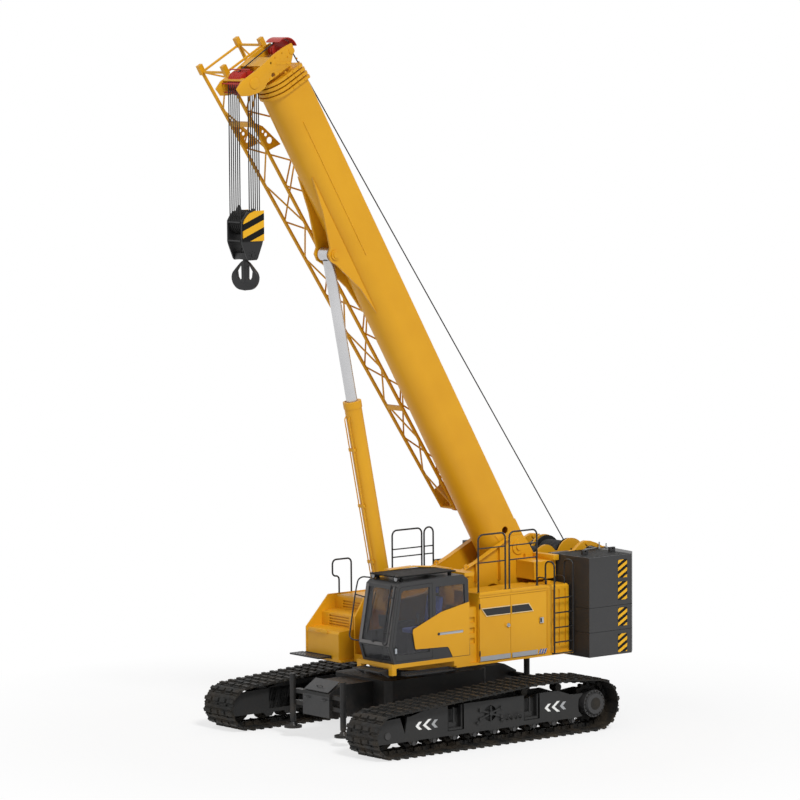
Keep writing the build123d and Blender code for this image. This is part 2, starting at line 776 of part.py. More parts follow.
def section_outline(inset):
    """Boom section: flat top and sides over a half-round bottom, drawn in y and v."""
    w = boom_half_width - inset
    top = boom_top_v - inset
    corner = 30
    lines = Polyline((w, boom_side_v), (w, top - corner), (w - corner, top), (-w + corner, top),
                     (-w, top - corner), (-w, boom_side_v))
    bottom = ThreePointArc((-w, boom_side_v), (0, boom_side_v - w), (w, boom_side_v))
    return make_face([lines, bottom])


def section_solid(inset, u0, u1):
    """Length of solid boom section between two places along the boom."""
    plane = Plane((u0, 0, 0), x_dir=(0, 1, 0), z_dir=(1, 0, 0))
    return extrude(plane * section_outline(inset), u1 - u0)


def section_ring(outside, inside, u0, u1):
    return section_solid(outside, u0, u1) - section_solid(inside, u0 - 1, u1 + 1)


def boom_tube(index):
    """Tube of a boom section, with its collar in front and its slide pads behind."""
    inset = section_step * index
    front = base_length + collar_pitch * index
    rear = boom_start if index == 0 else 400 + tail_step * index
    tube = section_ring(inset, inset + section_wall, rear, front + collar_length)
    if index > 0:
        fit = inset - section_step + section_wall + slide_fit
        tube += section_ring(fit, inset + section_wall, rear, rear + tail_length)
    if index < section_count - 1:
        outside = -collar_height + collar_shrink * index
        throat = inset + section_step - slide_fit
        tube += section_ring(outside, throat, front, front + collar_length)
        tube += section_ring(inset + section_wall, throat, front - 160, front)
    return tube


def boom_base():
    """Outer boom section with its foot, the lift cylinder's lugs, rope guides and jib brackets."""
    boom = boom_tube(0)
    half = boom_half_width
    # foot: two cheeks that taper to the hinge pin, tied by a round sleeve
    foot = ((boom_start, boom_top_v), (-60, 130), (-130, 0), (-60, -130), (boom_start, -250),
            (foot_cheek_end, -330), (foot_cheek_end, boom_top_v))
    for sign in (1, -1):
        boom += plate(foot, sign * half, sign * (half - 30))
    boom += axle(0, 0, 115, -half, half)
    boom -= axle(0, 0, foot_pin_radius + pin_fit, -half - 1, half + 1)
    for sign in (1, -1):
        boom -= axle(417, -209 + 140, 75, sign * (half + 1), sign * (half - 45))
    # lift lugs: two curved plates under the belly, meeting at the pin
    bottom = boom_side_v - half
    for sign in (1, -1):
        inner, outer = sign * lug_inner, sign * (lug_inner + lug_plate)
        lug = plate(((5700, bottom + 60), (6300, bottom - 30), (lift_pin_u - 190, lift_pin_v - 60),
                     (lift_pin_u - 60, lift_pin_v - 140), (lift_pin_u + 80, lift_pin_v - 130),
                     (lift_pin_u + 160, lift_pin_v - 30), (8000, bottom - 60), (8700, bottom + 60)),
                    inner, outer)
        boom += lug - section_solid(section_wall / 2, 5600, 8800)
        boom += axle(lift_pin_u, lift_pin_v, 95, sign * (eye_half_width + 6), sign * (lug_inner + lug_plate + 30))
    reach = lug_inner + lug_plate + 45
    boom += axle(lift_pin_u, lift_pin_v, lift_eye_radius, -reach, reach)
    # rope guides on the back
    for u in (2560, 6290):
        guide = box(u - 60, u + 60, -90, 90, boom_top_v - 5, boom_top_v + 90)
        boom += guide - axle(u, boom_top_v + 60, 22, -70, 70)
    # brackets that hold the stowed jib
    for u in (1750, 5300, 9000):
        _, y, v = jib_corner(3, (jib_base_u - u) / (jib_base_u - jib_tip_u))
        boom += box(u - 60, u + 60, -half + 5, y + chord_radius * cos(pi / 6) + 0.3, v - 60, v + 60)
    return boom


def boom_head():
    """Head of the inner section: side plates, sheave axles, cross walls and the red rope guards."""
    start = base_length + collar_pitch * (section_count - 1) + collar_length
    inset = section_step * (section_count - 1)
    outline = ((start, 90), (start + 160, 150), (11130, 270), (head_front, 120), (head_front, -260),
               (11190, -1050), (11128, -1190), (10820, -1130), (start + 130, -640), (start, -480))
    w = head_half_width
    cheek = plate(outline, w - head_plate, w)
    head = cheek + mirrored(cheek)
    head += section_solid(inset, start, start + 15)
    head += box(start + 40, 10960, -w + head_plate, w - head_plate, -130, -80)
    head += plate(((start, -470), (start + 30, -480), (10700, -600), (10700, -560)), -w + head_plate, w - head_plate)
    head += axle(nose_u, nose_v, 60, -w, w) + axle(top_sheave_u, top_sheave_v, 50, -w - 5, w + 5)
    for sign in (1, -1):
        head += axle(nose_u, nose_v, 110, sign * w, sign * (w + 20))
    head += axle(11150, -330, 25, -w, w)
    return head - axle(spare_pin_u, spare_pin_v, spare_pin_radius, -w - 1, w + 1)


def sheave(u, v, radius, y, width, bore):
    """Grooved rope wheel."""
    rim = axle(u, v, radius, y - width / 2, y + width / 2)
    groove = axle(u, v, radius + 1, y - width / 4, y + width / 4)
    groove -= axle(u, v, radius - sheave_groove, y - width / 4, y + width / 4)
    return rim - groove - axle(u, v, bore, y - width, y + width)


def fall_places():
    """Across and fore-aft places of the hoist rope's falls."""
    return [((i - (nose_count - 1) / 2) * nose_pitch, side) for i in range(nose_count) for side in (-1, 1)]


def nose_sheaves():
    """Row of rope wheels in the boom's nose, on their common bush."""
    width = nose_pitch - 8
    wheels = []
    for i in range(nose_count):
        y = (i - (nose_count - 1) / 2) * nose_pitch
        wheels.append(sheave(nose_u, nose_v, nose_radius, y, width, 60 + pin_fit))
    length = nose_pitch * nose_count / 2 + 60
    bush = axle(nose_u, nose_v, 90, -length, length) - axle(nose_u, nose_v, 60 + pin_fit, -length, length)
    return bush + wheels


def top_sheave():
    """Rope wheel over which the hoist rope reaches the nose."""
    bore = 50 + pin_fit
    wheel = sheave(top_sheave_u, top_sheave_v, top_sheave_radius, 0, 60, bore)
    reach = head_half_width - head_plate - 0.3
    tube = axle(top_sheave_u, top_sheave_v, 70, -reach, reach) - axle(top_sheave_u, top_sheave_v, bore, -reach, reach)
    return wheel + tube


def jib_corner(corner, t):
    """Place of a jib chord, from base t = 0 to tip t = 1: u, y, v."""
    y0, v0 = jib_base[corner]
    y1, v1 = jib_tip[corner]
    return (jib_base_u + (jib_tip_u - jib_base_u) * t, y0 + (y1 - y0) * t, v0 + (v1 - v0) * t)


def lattice_jib():
    """Stowed jib: four tapering chords, zigzag lacing, end frames, lugs and tip sheave box."""
    pieces = []
    for corner in range(4):
        pieces.append(strut(jib_corner(corner, 0), jib_corner(corner, 1), chord_radius))
        next_corner = (corner + 1) % 4
        for i in range(jib_bays):
            a, b = (corner, next_corner) if i % 2 == 0 else (next_corner, corner)
            pieces.append(strut(jib_corner(a, i / jib_bays), jib_corner(b, (i + 1) / jib_bays), lace_radius))
        pieces.append(strut(jib_corner(corner, 0), jib_corner(next_corner, 0), lace_radius + 8))
        pieces.append(strut(jib_corner(corner, 1), jib_corner(next_corner, 1), lace_radius + 8))
        u, y, v = jib_corner(corner, 0)
        pieces.append(box(u - 40, u + 150, y - 45, y + 45, v - 50, v + 50))
    y_mid = (jib_tip[0][0] + jib_tip[1][0]) / 2
    v_mid = (jib_tip[0][1] + jib_tip[2][1]) / 2
    for y in (jib_tip[0][0], jib_tip[1][0]):
        pieces.append(plate(((jib_tip_u + 400, v_mid - 190), (jib_tip_u + 400, v_mid + 190), (jib_tip_u, v_mid + 200),
                             (jib_tip_u - 130, v_mid + 60), (jib_tip_u - 130, v_mid - 60), (jib_tip_u, v_mid - 200)),
                            y - 12, y + 12))
    pieces.append(axle(jib_tip_u - 40, v_mid, 30, jib_tip[1][0], jib_tip[0][0]))
    pieces.append(axle(jib_tip_u - 40, v_mid, 130, y_mid - 25, y_mid + 25))
    return join(pieces)


# Lift cylinder, drawn along x from its foot pin

def lift_angle():
    x, z = boom_point(lift_pin_u, lift_pin_v)
    return degrees(atan2(z - lift_z, x - lift_x))


def lift_length():
    x, z = boom_point(lift_pin_u, lift_pin_v)
    return hypot(x - lift_x, z - lift_z)


def on_cylinder(shape):
    return Location((lift_x, 0, lift_z)) * Rotation(0, -lift_angle(), 0) * shape


def along_x(radius, x0, x1):
    return Solid.make_cylinder(radius, x1 - x0, Plane((x0, 0, 0), z_dir=(1, 0, 0)))


def lift_barrel():
    """Cylinder barrel with its foot eye and gland ring."""
    barrel = along_x(barrel_radius, 180, barrel_length - 60) + along_x(barrel_radius + 12, barrel_length - 120, barrel_length)
    barrel += axle(0, 0, 150, -foot_eye_half_width, foot_eye_half_width) + box(0, 200, -110, 110, -140, 140)
    barrel -= axle(0, 0, lift_pin_radius + pin_fit, -foot_eye_half_width - 1, foot_eye_half_width + 1)
    barrel -= along_x(barrel_bore, 210, barrel_length - 150)
    return barrel - along_x(rod_radius + pin_fit, barrel_length - 160, barrel_length + 1)


def lift_rod():
    """Bright rod with its piston, and the eye that turns on the pin between the boom's lugs."""
    reach = lift_length()
    rod = along_x(rod_radius, piston_place, reach - eye_radius + 20)
    rod += along_x(barrel_bore - 0.3, piston_place, piston_place + 100)
    rod += Location((reach, 0, 0)) * axle(0, 0, eye_radius, -eye_half_width, eye_half_width)
    return rod - Location((reach, 0, 0)) * axle(0, 0, lift_eye_radius + pin_fit, -eye_half_width, eye_half_width)


# Hoist tackle, hanging plumb from the nose

def nose_place():
    return boom_point(nose_u, nose_v)


def hoist_falls():
    """The parts of the hoist rope between nose and block."""
    x, z = nose_place()
    out = nose_radius - sheave_groove + rope_radius + 0.3
    return join([post(x + side * out, y, rope_radius, block_sheave_z, z) for y, side in fall_places()])


def hook_block():
    """Block frame: two cheeks, outer guards, axle and the crosshead under it."""
    x, _ = nose_place()
    w = block_half_width
    outline = ((x - w + 60, block_top), (x + w - 60, block_top), (x + w, block_top - 80), (x + w, 9480),
               (x + 150, hook_top + 40), (x - 150, hook_top + 40), (x - w, 9480), (x - w, block_top - 80))
    frame = axle(x, block_sheave_z, 55, -cheek_y - cheek_plate, cheek_y + cheek_plate)
    for sign in (1, -1):
        cheek = plate(outline, sign * cheek_y, sign * (cheek_y + cheek_plate))
        frame += cheek + axle(x, block_sheave_z, 110, sign * (cheek_y + cheek_plate), sign * (cheek_y + cheek_plate + 18))
    cross = box(x - 120, x + 120, -cheek_y, cheek_y, hook_top + 60, hook_top + 190)
    cross -= post(x, 0, 62 + pin_fit, hook_top + 50, hook_top + 200)
    return frame + cross


def block_sheaves():
    """Rope wheels of the hook block."""
    x, _ = nose_place()
    wheels = []
    for i in range(nose_count):
        y = (i - (nose_count - 1) / 2) * nose_pitch
        wheels.append(sheave(x, block_sheave_z, block_sheave_radius, y, nose_pitch - 8, 55 + pin_fit))
    length = nose_pitch * nose_count / 2
    bush = axle(x, block_sheave_z, 85, -length, length) - axle(x, block_sheave_z, 55 + pin_fit, -length, length)
    return bush + wheels


def hook():
    """Double hook on its shank, with the nut on the crosshead."""
    x, _ = nose_place()
    bottom = hook_bottom
    bowl = 145
    centre_z = bottom + 190
    arms = []
    for sign in (1, -1):
        ring = axle(x + sign * 135, centre_z, 175, -50, 50) - axle(x + sign * 135, centre_z, 88, -51, 51)
        mouth = box(x + sign * 60, x + sign * 240, -52, 52, centre_z + 20, centre_z + 190)
        arms.append(ring - mouth)
    shank = post(x, 0, 60, centre_z + 20, hook_top + 260) + post(x, 0, 100, hook_top + 190.3, hook_top + 260)
    return join(arms + [shank, box(x - 70, x + 70, -50, 50, centre_z - 120, centre_z + 160)])


def build():
    """All the nodes by name."""
    nodes = {"carbody": carbody(), "slew_ring": slew_ring(), "jack_sleeves": jack_sleeves()}
    for side_x, side_y, x, y in jack_places():
        name = ("front" if side_x > 0 else "rear") + ("_left" if side_y > 0 else "_right")
        nodes["jack_rod_" + name] = jack_rod(x, y)
    for name, shape in (("track_frame", track_frame()), ("track_loop", track_loop()), ("track_wheels", track_wheels())):
        nodes[name + "_left"] = shape
        nodes[name + "_right"] = mirrored(shape)
    nodes.update({
        "turntable_frame": turntable_frame(), "deck_frame": deck_frame(),
        "cab_shell": cab_shell(), "cab_door": cab_door(), "cab_glass": cab_glass(),
        "cab_side_panel": cab_side_panel(), "operator_seat": operator_seat(), "cab_console": cab_console(),
        "cab_roof_guard": cab_roof_guard(), "left_house": left_house(),
        "house_door_front": house_door(house_front - 6, door_split),
        "house_door_rear": house_door(door_split, house_rear + 6),
        "fuel_tank": fuel_tank(), "right_hood": right_hood(), "exhaust_box": exhaust_box(),
        "engine_block": engine_block(), "handrails": handrails(), "access_steps": access_steps(),
    })
    nodes["counterweight"] = counterweight()
    for name, x, z, drum, flange in winches:
        nodes[name] = winch_drum(x, z, drum, flange)
    nodes["boom_base"] = on_boom(boom_base())
    for index in range(1, section_count):
        nodes[f"boom_section_{index + 1}"] = on_boom(boom_tube(index))
    nodes["boom_head"] = on_boom(boom_head())
    nodes["head_sheaves"] = on_boom(join([nose_sheaves(), top_sheave()]))
    nodes["lattice_jib"] = on_boom(lattice_jib())
    nodes["lift_barrel"] = on_cylinder(lift_barrel())
    nodes["lift_rod"] = on_cylinder(lift_rod())
    nodes.update({"hoist_falls": hoist_falls(), "hook_block": hook_block(),
                  "block_sheaves": block_sheaves(), "hook": hook()})
    return nodes


os.makedirs("parts", exist_ok=True)
for name, shape in build().items():
    export_step(shape, f"parts/{name}.step")
    print(name)
print("lift cylinder angle", round(lift_angle(), 2), "length", round(lift_length(), 1), "nose", nose_place())
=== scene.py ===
import math

import bpy
from mathutils import Matrix, Vector


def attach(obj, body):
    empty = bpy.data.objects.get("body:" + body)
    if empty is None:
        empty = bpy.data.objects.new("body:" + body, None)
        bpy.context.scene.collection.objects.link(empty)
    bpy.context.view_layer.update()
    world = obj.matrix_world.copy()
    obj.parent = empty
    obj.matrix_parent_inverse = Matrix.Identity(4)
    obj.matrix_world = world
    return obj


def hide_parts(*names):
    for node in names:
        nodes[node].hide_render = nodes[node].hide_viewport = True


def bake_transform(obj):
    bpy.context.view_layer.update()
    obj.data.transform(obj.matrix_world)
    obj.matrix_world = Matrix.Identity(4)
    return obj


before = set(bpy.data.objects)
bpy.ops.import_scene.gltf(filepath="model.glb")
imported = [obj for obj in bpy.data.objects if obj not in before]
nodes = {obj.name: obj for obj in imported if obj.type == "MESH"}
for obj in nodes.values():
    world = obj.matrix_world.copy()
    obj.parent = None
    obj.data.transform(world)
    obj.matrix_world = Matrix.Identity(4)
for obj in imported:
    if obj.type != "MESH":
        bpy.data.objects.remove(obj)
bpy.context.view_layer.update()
bpy.context.scene.view_settings.view_transform = "Standard"
print("frame loaded:", len(nodes), "nodes")

# camera

view = {
    "azimuth": 0.681,
    "elevation": 0.114,
    "roll": -0.007,
    "distance": 85.751,
    "target": Vector((0, 0, 4.5)),
    "focal": 4500.0,
    "image": 800.0,
    "offset": (9.554, 94.752),
    "sensor": 36.0,
    "farClip": 400,
}


def makeCamera():
    az, el = view["azimuth"], view["elevation"]
    out = Vector((math.sin(az) * math.cos(el), math.cos(az) * math.cos(el), math.sin(el)))
    forward = -out
    right = forward.cross(Vector((0, 0, 1))).normalized()
    up = right.cross(forward)
    c, s = math.cos(view["roll"]), math.sin(view["roll"])
    tiltedRight = right * c + up * s
    tiltedUp = up * c - right * s
    data = bpy.data.cameras.new("photoCamera")
    data.sensor_width = view["sensor"]
    data.lens = view["focal"] * data.sensor_width / view["image"]
    data.shift_x = -view["offset"][0] / view["image"]
    data.shift_y = view["offset"][1] / view["image"]
    data.clip_end = view["farClip"]
    camera = bpy.data.objects.new("photoCamera", data)
    bpy.context.scene.collection.objects.link(camera)
    place = Matrix((tiltedRight, tiltedUp, out)).transposed().to_4x4()
    place.translation = view["target"] + out * view["distance"]
    camera.matrix_world = place
    bpy.context.scene.camera = camera
    print("camera set, lens", round(data.lens, 1))


makeCamera()


# light, floor and backdrop

light = {
    "world": 0.38,
    "worldColour": (1.0, 1.0, 1.0, 1.0),
    "key": {"energy": 2.05, "angle": 14, "rotation": (math.radians(44), 0, math.radians(166))},
    "fill": {"energy": 0.22, "angle": 60, "rotation": (math.radians(60), 0, math.radians(75))},
    "floorSize": 200,
    "floorColour": (0.97, 0.97, 0.97, 1.0),
    "floorRough": 0.9,
    "floorShadow": 0.3,
    "fadeNear": 6.0,
    "fadeFar": 11.0,
}


def makeSun(name, spec):
    data = bpy.data.lights.new(name, "SUN")
    data.energy = spec["energy"]
    data.angle = math.radians(spec["angle"])
    lamp = bpy.data.objects.new(name, data)
    lamp.rotation_euler = spec["rotation"]
    bpy.context.scene.collection.objects.link(lamp)


def seenDirectly(tree):
    # one for rays that show the backdrop: the camera's own, and those in mirrors and through glass
    path = tree.nodes.new("ShaderNodeLightPath")
    seen = path.outputs["Is Camera Ray"]
    for label in ("Is Glossy Ray", "Is Transmission Ray"):
        either = tree.nodes.new("ShaderNodeMath")
        either.operation = "MAXIMUM"
        tree.links.new(seen, either.inputs[0])
        tree.links.new(path.outputs[label], either.inputs[1])
        seen = either.outputs[0]
    return seen


def makeWorld():
    world = bpy.data.worlds.new("studio")
    bpy.context.scene.world = world
    world.use_nodes = True
    tree = world.node_tree
    tree.nodes.clear()
    out = tree.nodes.new("ShaderNodeOutputWorld")
    mix = tree.nodes.new("ShaderNodeMixShader")
    lit = tree.nodes.new("ShaderNodeBackground")
    lit.inputs["Color"].default_value = light["worldColour"]
    lit.inputs["Strength"].default_value = light["world"]
    white = tree.nodes.new("ShaderNodeBackground")
    white.inputs["Color"].default_value = (1, 1, 1, 1)
    white.inputs["Strength"].default_value = 1.0
    tree.links.new(seenDirectly(tree), mix.inputs[0])
    tree.links.new(lit.outputs[0], mix.inputs[1])
    tree.links.new(white.outputs[0], mix.inputs[2])
    tree.links.new(mix.outputs[0], out.inputs["Surface"])


def makeFloor():
    bpy.ops.object.select_all(action="DESELECT")
    bpy.ops.mesh.primitive_plane_add(size=light["floorSize"], location=(0, 0, 0))
    floor = bpy.context.object
    floor.name = "studioFloor"
    material = bpy.data.materials.new("paleFloor")
    material.use_nodes = True
    tree = material.node_tree
    shader = tree.nodes["Principled BSDF"]
    shader.inputs["Base Color"].default_value = light["floorColour"]
    shader.inputs["Roughness"].default_value = light["floorRough"]
    glow = tree.nodes.new("ShaderNodeEmission")
    glow.inputs["Strength"].default_value = 1.0
    # white where it is seen, apart from a light shadow that fades away from the machine
    where = tree.nodes.new("ShaderNodeTexCoord")
    away = tree.nodes.new("ShaderNodeVectorMath")
    away.operation = "LENGTH"
    tree.links.new(where.outputs["Object"], away.inputs[0])
    fade = tree.nodes.new("ShaderNodeMapRange")
    fade.inputs["From Min"].default_value = light["fadeNear"]
    fade.inputs["From Max"].default_value = light["fadeFar"]
    fade.inputs["To Min"].default_value = 1.0 - light["floorShadow"]
    fade.inputs["To Max"].default_value = 1.0
    tree.links.new(away.outputs["Value"], fade.inputs["Value"])
    share = tree.nodes.new("ShaderNodeMath")
    share.operation = "MULTIPLY"
    tree.links.new(seenDirectly(tree), share.inputs[0])
    tree.links.new(fade.outputs["Result"], share.inputs[1])
    clear = tree.nodes.new("ShaderNodeMixShader")
    out = tree.nodes["Material Output"]
    tree.links.new(share.outputs[0], clear.inputs[0])
    tree.links.new(shader.outputs[0], clear.inputs[1])
    tree.links.new(glow.outputs[0], clear.inputs[2])
    tree.links.new(clear.outputs[0], out.inputs["Surface"])
    floor.data.materials.append(material)


makeWorld()
makeSun("keySun", light["key"])
makeSun("fillSun", light["fill"])
makeFloor()
print("studio made")


# shared surface effects: colours, masks and normals only

def makeGroup(name, inputs, outputs):
    group = bpy.data.node_groups.new(name, "ShaderNodeTree")
    for label, kind, value in inputs:
        socket = group.interface.new_socket(name=label, in_out="INPUT", socket_type=kind)
        if value is not None:
            socket.default_value = value
    for label, kind in outputs:
        group.interface.new_socket(name=label, in_out="OUTPUT", socket_type=kind)
    return group, group.nodes.new("NodeGroupInput"), group.nodes.new("NodeGroupOutput")


def ranged(tree, source, low, high, toLow=0.0, toHigh=1.0):
    node = tree.nodes.new("ShaderNodeMapRange")
    node.inputs["From Min"].default_value = low
    node.inputs["From Max"].default_value = high
    node.inputs["To Min"].default_value = toLow
    node.inputs["To Max"].default_value = toHigh
    tree.links.new(source, node.inputs["Value"])
    return node.outputs["Result"]


def math2(tree, operation, a, b):
    node = tree.nodes.new("ShaderNodeMath")
    node.operation = operation
    for index, value in enumerate((a, b)):
        if isinstance(value, (int, float)):
            node.inputs[index].default_value = value
        else:
            tree.links.new(value, node.inputs[index])
    return node.outputs[0]


def mixColour(tree, mask, a, b):
    node = tree.nodes.new("ShaderNodeMix")
    node.data_type = "RGBA"
    if isinstance(mask, (int, float)):
        node.inputs["Factor"].default_value = mask
    else:
        tree.links.new(mask, node.inputs["Factor"])
    for label, value in (("A", a), ("B", b)):
        socket = [s for s in node.inputs if s.name == label and s.type == "RGBA"][0]
        if isinstance(value, tuple):
            socket.default_value = (*value, 1.0)
        else:
            tree.links.new(value, socket)
    return [s for s in node.outputs if s.type == "RGBA"][0]


def noise(tree, vector, scale, detail, roughness):
    node = tree.nodes.new("ShaderNodeTexNoise")
    node.inputs["Scale"].default_value = scale
    node.inputs["Detail"].default_value = detail
    node.inputs["Roughness"].default_value = roughness
    tree.links.new(vector, node.inputs["Vector"])
    return node.outputs["Fac"]


# noise as scale, detail and roughness, and the part of its range that is spread from 0 to 1
effects = {
    "broad": (0.9, 3.0, 0.5),
    "fine": (14.0, 6.0, 0.6),
    "spread": (0.35, 0.65),
    "dustCloud": (3.2, 7.0, 0.65),
    "dustSpread": (0.42, 0.68),
    "dustUpward": (0.2, 0.95),
    "dustLying": 0.8,
    "grainDetail": 3.0,
    "grainDepth": 0.004,
}


def makeMottle():
    group, start, end = makeGroup(
        "mottle",
        [("Vector", "NodeSocketVector", None)],
        [("Broad", "NodeSocketFloat"), ("Fine", "NodeSocketFloat")],
    )
    vector = start.outputs["Vector"]
    broad = ranged(group, noise(group, vector, *effects["broad"]), *effects["spread"])
    fine = ranged(group, noise(group, vector, *effects["fine"]), *effects["spread"])
    group.links.new(broad, end.inputs["Broad"])
    group.links.new(fine, end.inputs["Fine"])
    return group


def makeDust():
    group, start, end = makeGroup(
        "dustFromGround",
        [("Vector", "NodeSocketVector", None), ("Top", "NodeSocketFloat", 1.5)],
        [("Mask", "NodeSocketFloat")],
    )
    split = group.nodes.new("ShaderNodeSeparateXYZ")
    group.links.new(start.outputs["Vector"], split.inputs[0])
    fade = math2(group, "SUBTRACT", 1.0, math2(group, "DIVIDE", split.outputs["Z"], start.outputs["Top"]))
    normal = group.nodes.new("ShaderNodeNewGeometry")
    facing = group.nodes.new("ShaderNodeSeparateXYZ")
    group.links.new(normal.outputs["Normal"], facing.inputs[0])
    upward = ranged(group, facing.outputs["Z"], *effects["dustUpward"])
    speckle = noise(group, start.outputs["Vector"], *effects["dustCloud"])
    cloud = ranged(group, speckle, *effects["dustSpread"])
    low = math2(group, "MULTIPLY", math2(group, "MAXIMUM", fade, 0.0), cloud)
    lying = math2(group, "MULTIPLY", upward, math2(group, "MULTIPLY", cloud, effects["dustLying"]))
    both = math2(group, "MAXIMUM", low, lying)
    group.links.new(math2(group, "MINIMUM", both, 1.0), end.inputs["Mask"])
    return group


def makeSurfaceBump():
    group, start, end = makeGroup(
        "surfaceBump",
        [("Vector", "NodeSocketVector", None), ("Scale", "NodeSocketFloat", 60.0),
         ("Strength", "NodeSocketFloat", 0.1)],
        [("Normal", "NodeSocketVector")],
    )
    grain = group.nodes.new("ShaderNodeTexNoise")
    grain.inputs["Detail"].default_value = effects["grainDetail"]
    group.links.new(start.outputs["Vector"], grain.inputs["Vector"])
    group.links.new(start.outputs["Scale"], grain.inputs["Scale"])
    bump = group.nodes.new("ShaderNodeBump")
    bump.inputs["Distance"].default_value = effects["grainDepth"]
    group.links.new(start.outputs["Strength"], bump.inputs["Strength"])
    group.links.new(grain.outputs["Fac"], bump.inputs["Height"])
    group.links.new(bump.outputs["Normal"], end.inputs["Normal"])
    return group


groups = {"mottle": makeMottle(), "dust": makeDust(), "bump": makeSurfaceBump()}


def useGroup(tree, key, vector, **values):
    node = tree.nodes.new("ShaderNodeGroup")
    node.node_tree = groups[key]
    tree.links.new(vector, node.inputs["Vector"])
    for label, value in values.items():
        node.inputs[label].default_value = value
    return node.outputs


def startMaterial(name):
    material = bpy.data.materials.new(name)
    material.use_nodes = True
    tree = material.node_tree
    where = tree.nodes.new("ShaderNodeTexCoord")
    return material, tree, tree.nodes["Principled BSDF"], where.outputs["Object"]


# painted and bare surfaces: colour, a darker tone, the dust that lies on it up to a height, and its gloss

usual = {"metallic": 0.0, "coat": 0.1, "grain": 90.0, "specular": 0.28, "coatRough": 0.25, "dustRough": 0.3,
         "roughest": 0.95}

surfaces = {
    "machineYellow": {"colour": (0.715, 0.352, 0.010), "tone": (0.67, 0.318, 0.008),
                      "dust": (0.42, 0.30, 0.17), "dustTop": 2.2, "dustAmount": 0.10,
                      "rough": (0.36, 0.46), "coat": 0.08, "grainStrength": 0.05},
    "charcoal": {"colour": (0.036, 0.036, 0.037), "tone": (0.031, 0.031, 0.032),
                 "dust": (0.16, 0.14, 0.12), "dustTop": 1.8, "dustAmount": 0.10,
                 "rough": (0.42, 0.52), "coat": 0.15, "grainStrength": 0.06},
    "chassisBlack": {"colour": (0.011, 0.011, 0.011), "tone": (0.009, 0.009, 0.009),
                     "dust": (0.13, 0.10, 0.075), "dustTop": 1.2, "dustAmount": 0.35,
                     "rough": (0.42, 0.58), "grain": 70.0, "grainStrength": 0.10},
    "sideFrameBlack": {"colour": (0.020, 0.020, 0.020), "tone": (0.017, 0.017, 0.017),
                       "dust": (0.05, 0.042, 0.033), "dustTop": 1.0, "dustAmount": 0.16,
                       "rough": (0.42, 0.55), "coat": 0.0, "grain": 80.0, "grainStrength": 0.08},
    "roofBlack": {"colour": (0.010, 0.010, 0.010), "tone": (0.008, 0.008, 0.008),
                  "dust": (0.03, 0.026, 0.02), "dustTop": 3.0, "dustAmount": 0.12,
                  "rough": (0.55, 0.68), "coat": 0.0, "grain": 60.0, "grainStrength": 0.12, "specular": 0.12},
    "trimBlack": {"colour": (0.014, 0.014, 0.015), "tone": (0.011, 0.011, 0.012),
                  "dust": (0.10, 0.09, 0.08), "dustTop": 1.2, "dustAmount": 0.12,
                  "rough": (0.38, 0.5), "coat": 0.2, "grain": 120.0, "grainStrength": 0.06},
    "trackSteel": {"colour": (0.020, 0.020, 0.020), "tone": (0.013, 0.013, 0.012),
                   "dust": (0.075, 0.055, 0.034), "dustTop": 1.4, "dustAmount": 0.62,
                   "rough": (0.5, 0.72), "metallic": 0.35, "coat": 0.0, "grain": 45.0, "grainStrength": 0.35},
    "sheaveRed": {"colour": (0.50, 0.030, 0.018), "tone": (0.40, 0.022, 0.014),
                  "dust": (0.2, 0.1, 0.07), "dustTop": 1.2, "dustAmount": 0.05,
                  "rough": (0.38, 0.5), "coat": 0.2, "grainStrength": 0.06},
    "decalWhite": {"colour": (0.85, 0.85, 0.84), "tone": (0.78, 0.78, 0.76),
                   "dust": (0.4, 0.34, 0.26), "dustTop": 1.0, "dustAmount": 0.15,
                   "rough": (0.42, 0.5), "grainStrength": 0.03},
    "bandGrey": {"colour": (0.36, 0.37, 0.38), "tone": (0.33, 0.34, 0.35),
                 "dust": (0.4, 0.34, 0.26), "dustTop": 1.6, "dustAmount": 0.08,
                 "rough": (0.4, 0.5), "grainStrength": 0.03},
    "slashBlue": {"colour": (0.012, 0.075, 0.30), "tone": (0.010, 0.062, 0.26),
                  "dust": (0.3, 0.27, 0.22), "dustTop": 1.6, "dustAmount": 0.05,
                  "rough": (0.4, 0.5), "grainStrength": 0.03},
    "creamTrim": {"colour": (0.80, 0.62, 0.34), "tone": (0.76, 0.58, 0.31),
                  "dust": (0.4, 0.34, 0.26), "dustTop": 1.6, "dustAmount": 0.05,
                  "rough": (0.4, 0.5), "grainStrength": 0.03},
    "latchSteel": {"colour": (0.42, 0.45, 0.48), "tone": (0.34, 0.37, 0.40),
                   "dust": (0.3, 0.27, 0.22), "dustTop": 1.6, "dustAmount": 0.04,
                   "rough": (0.3, 0.42), "metallic": 0.45, "coat": 0.0,
                   "grain": 140.0, "grainStrength": 0.04},
    "frameGrey": {"colour": (0.125, 0.120, 0.118), "tone": (0.105, 0.100, 0.098),
                  "dust": (0.2, 0.18, 0.15), "dustTop": 1.6, "dustAmount": 0.05,
                  "rough": (0.3, 0.4), "coat": 0.2, "grain": 120.0, "grainStrength": 0.04},
    "rodSteel": {"colour": (0.62, 0.62, 0.63), "tone": (0.55, 0.55, 0.56),
                 "dust": (0.4, 0.36, 0.3), "dustTop": 0.6, "dustAmount": 0.02,
                 "rough": (0.22, 0.32), "metallic": 0.85, "coat": 0.0, "grain": 150.0, "grainStrength": 0.03},
    "plainPlastic": {"colour": (0.030, 0.030, 0.032), "tone": (0.022, 0.022, 0.024),
                     "dust": (0.1, 0.09, 0.08), "dustTop": 1.0, "dustAmount": 0.05,
                     "rough": (0.5, 0.62), "coat": 0.0, "grain": 220.0, "grainStrength": 0.2},
}


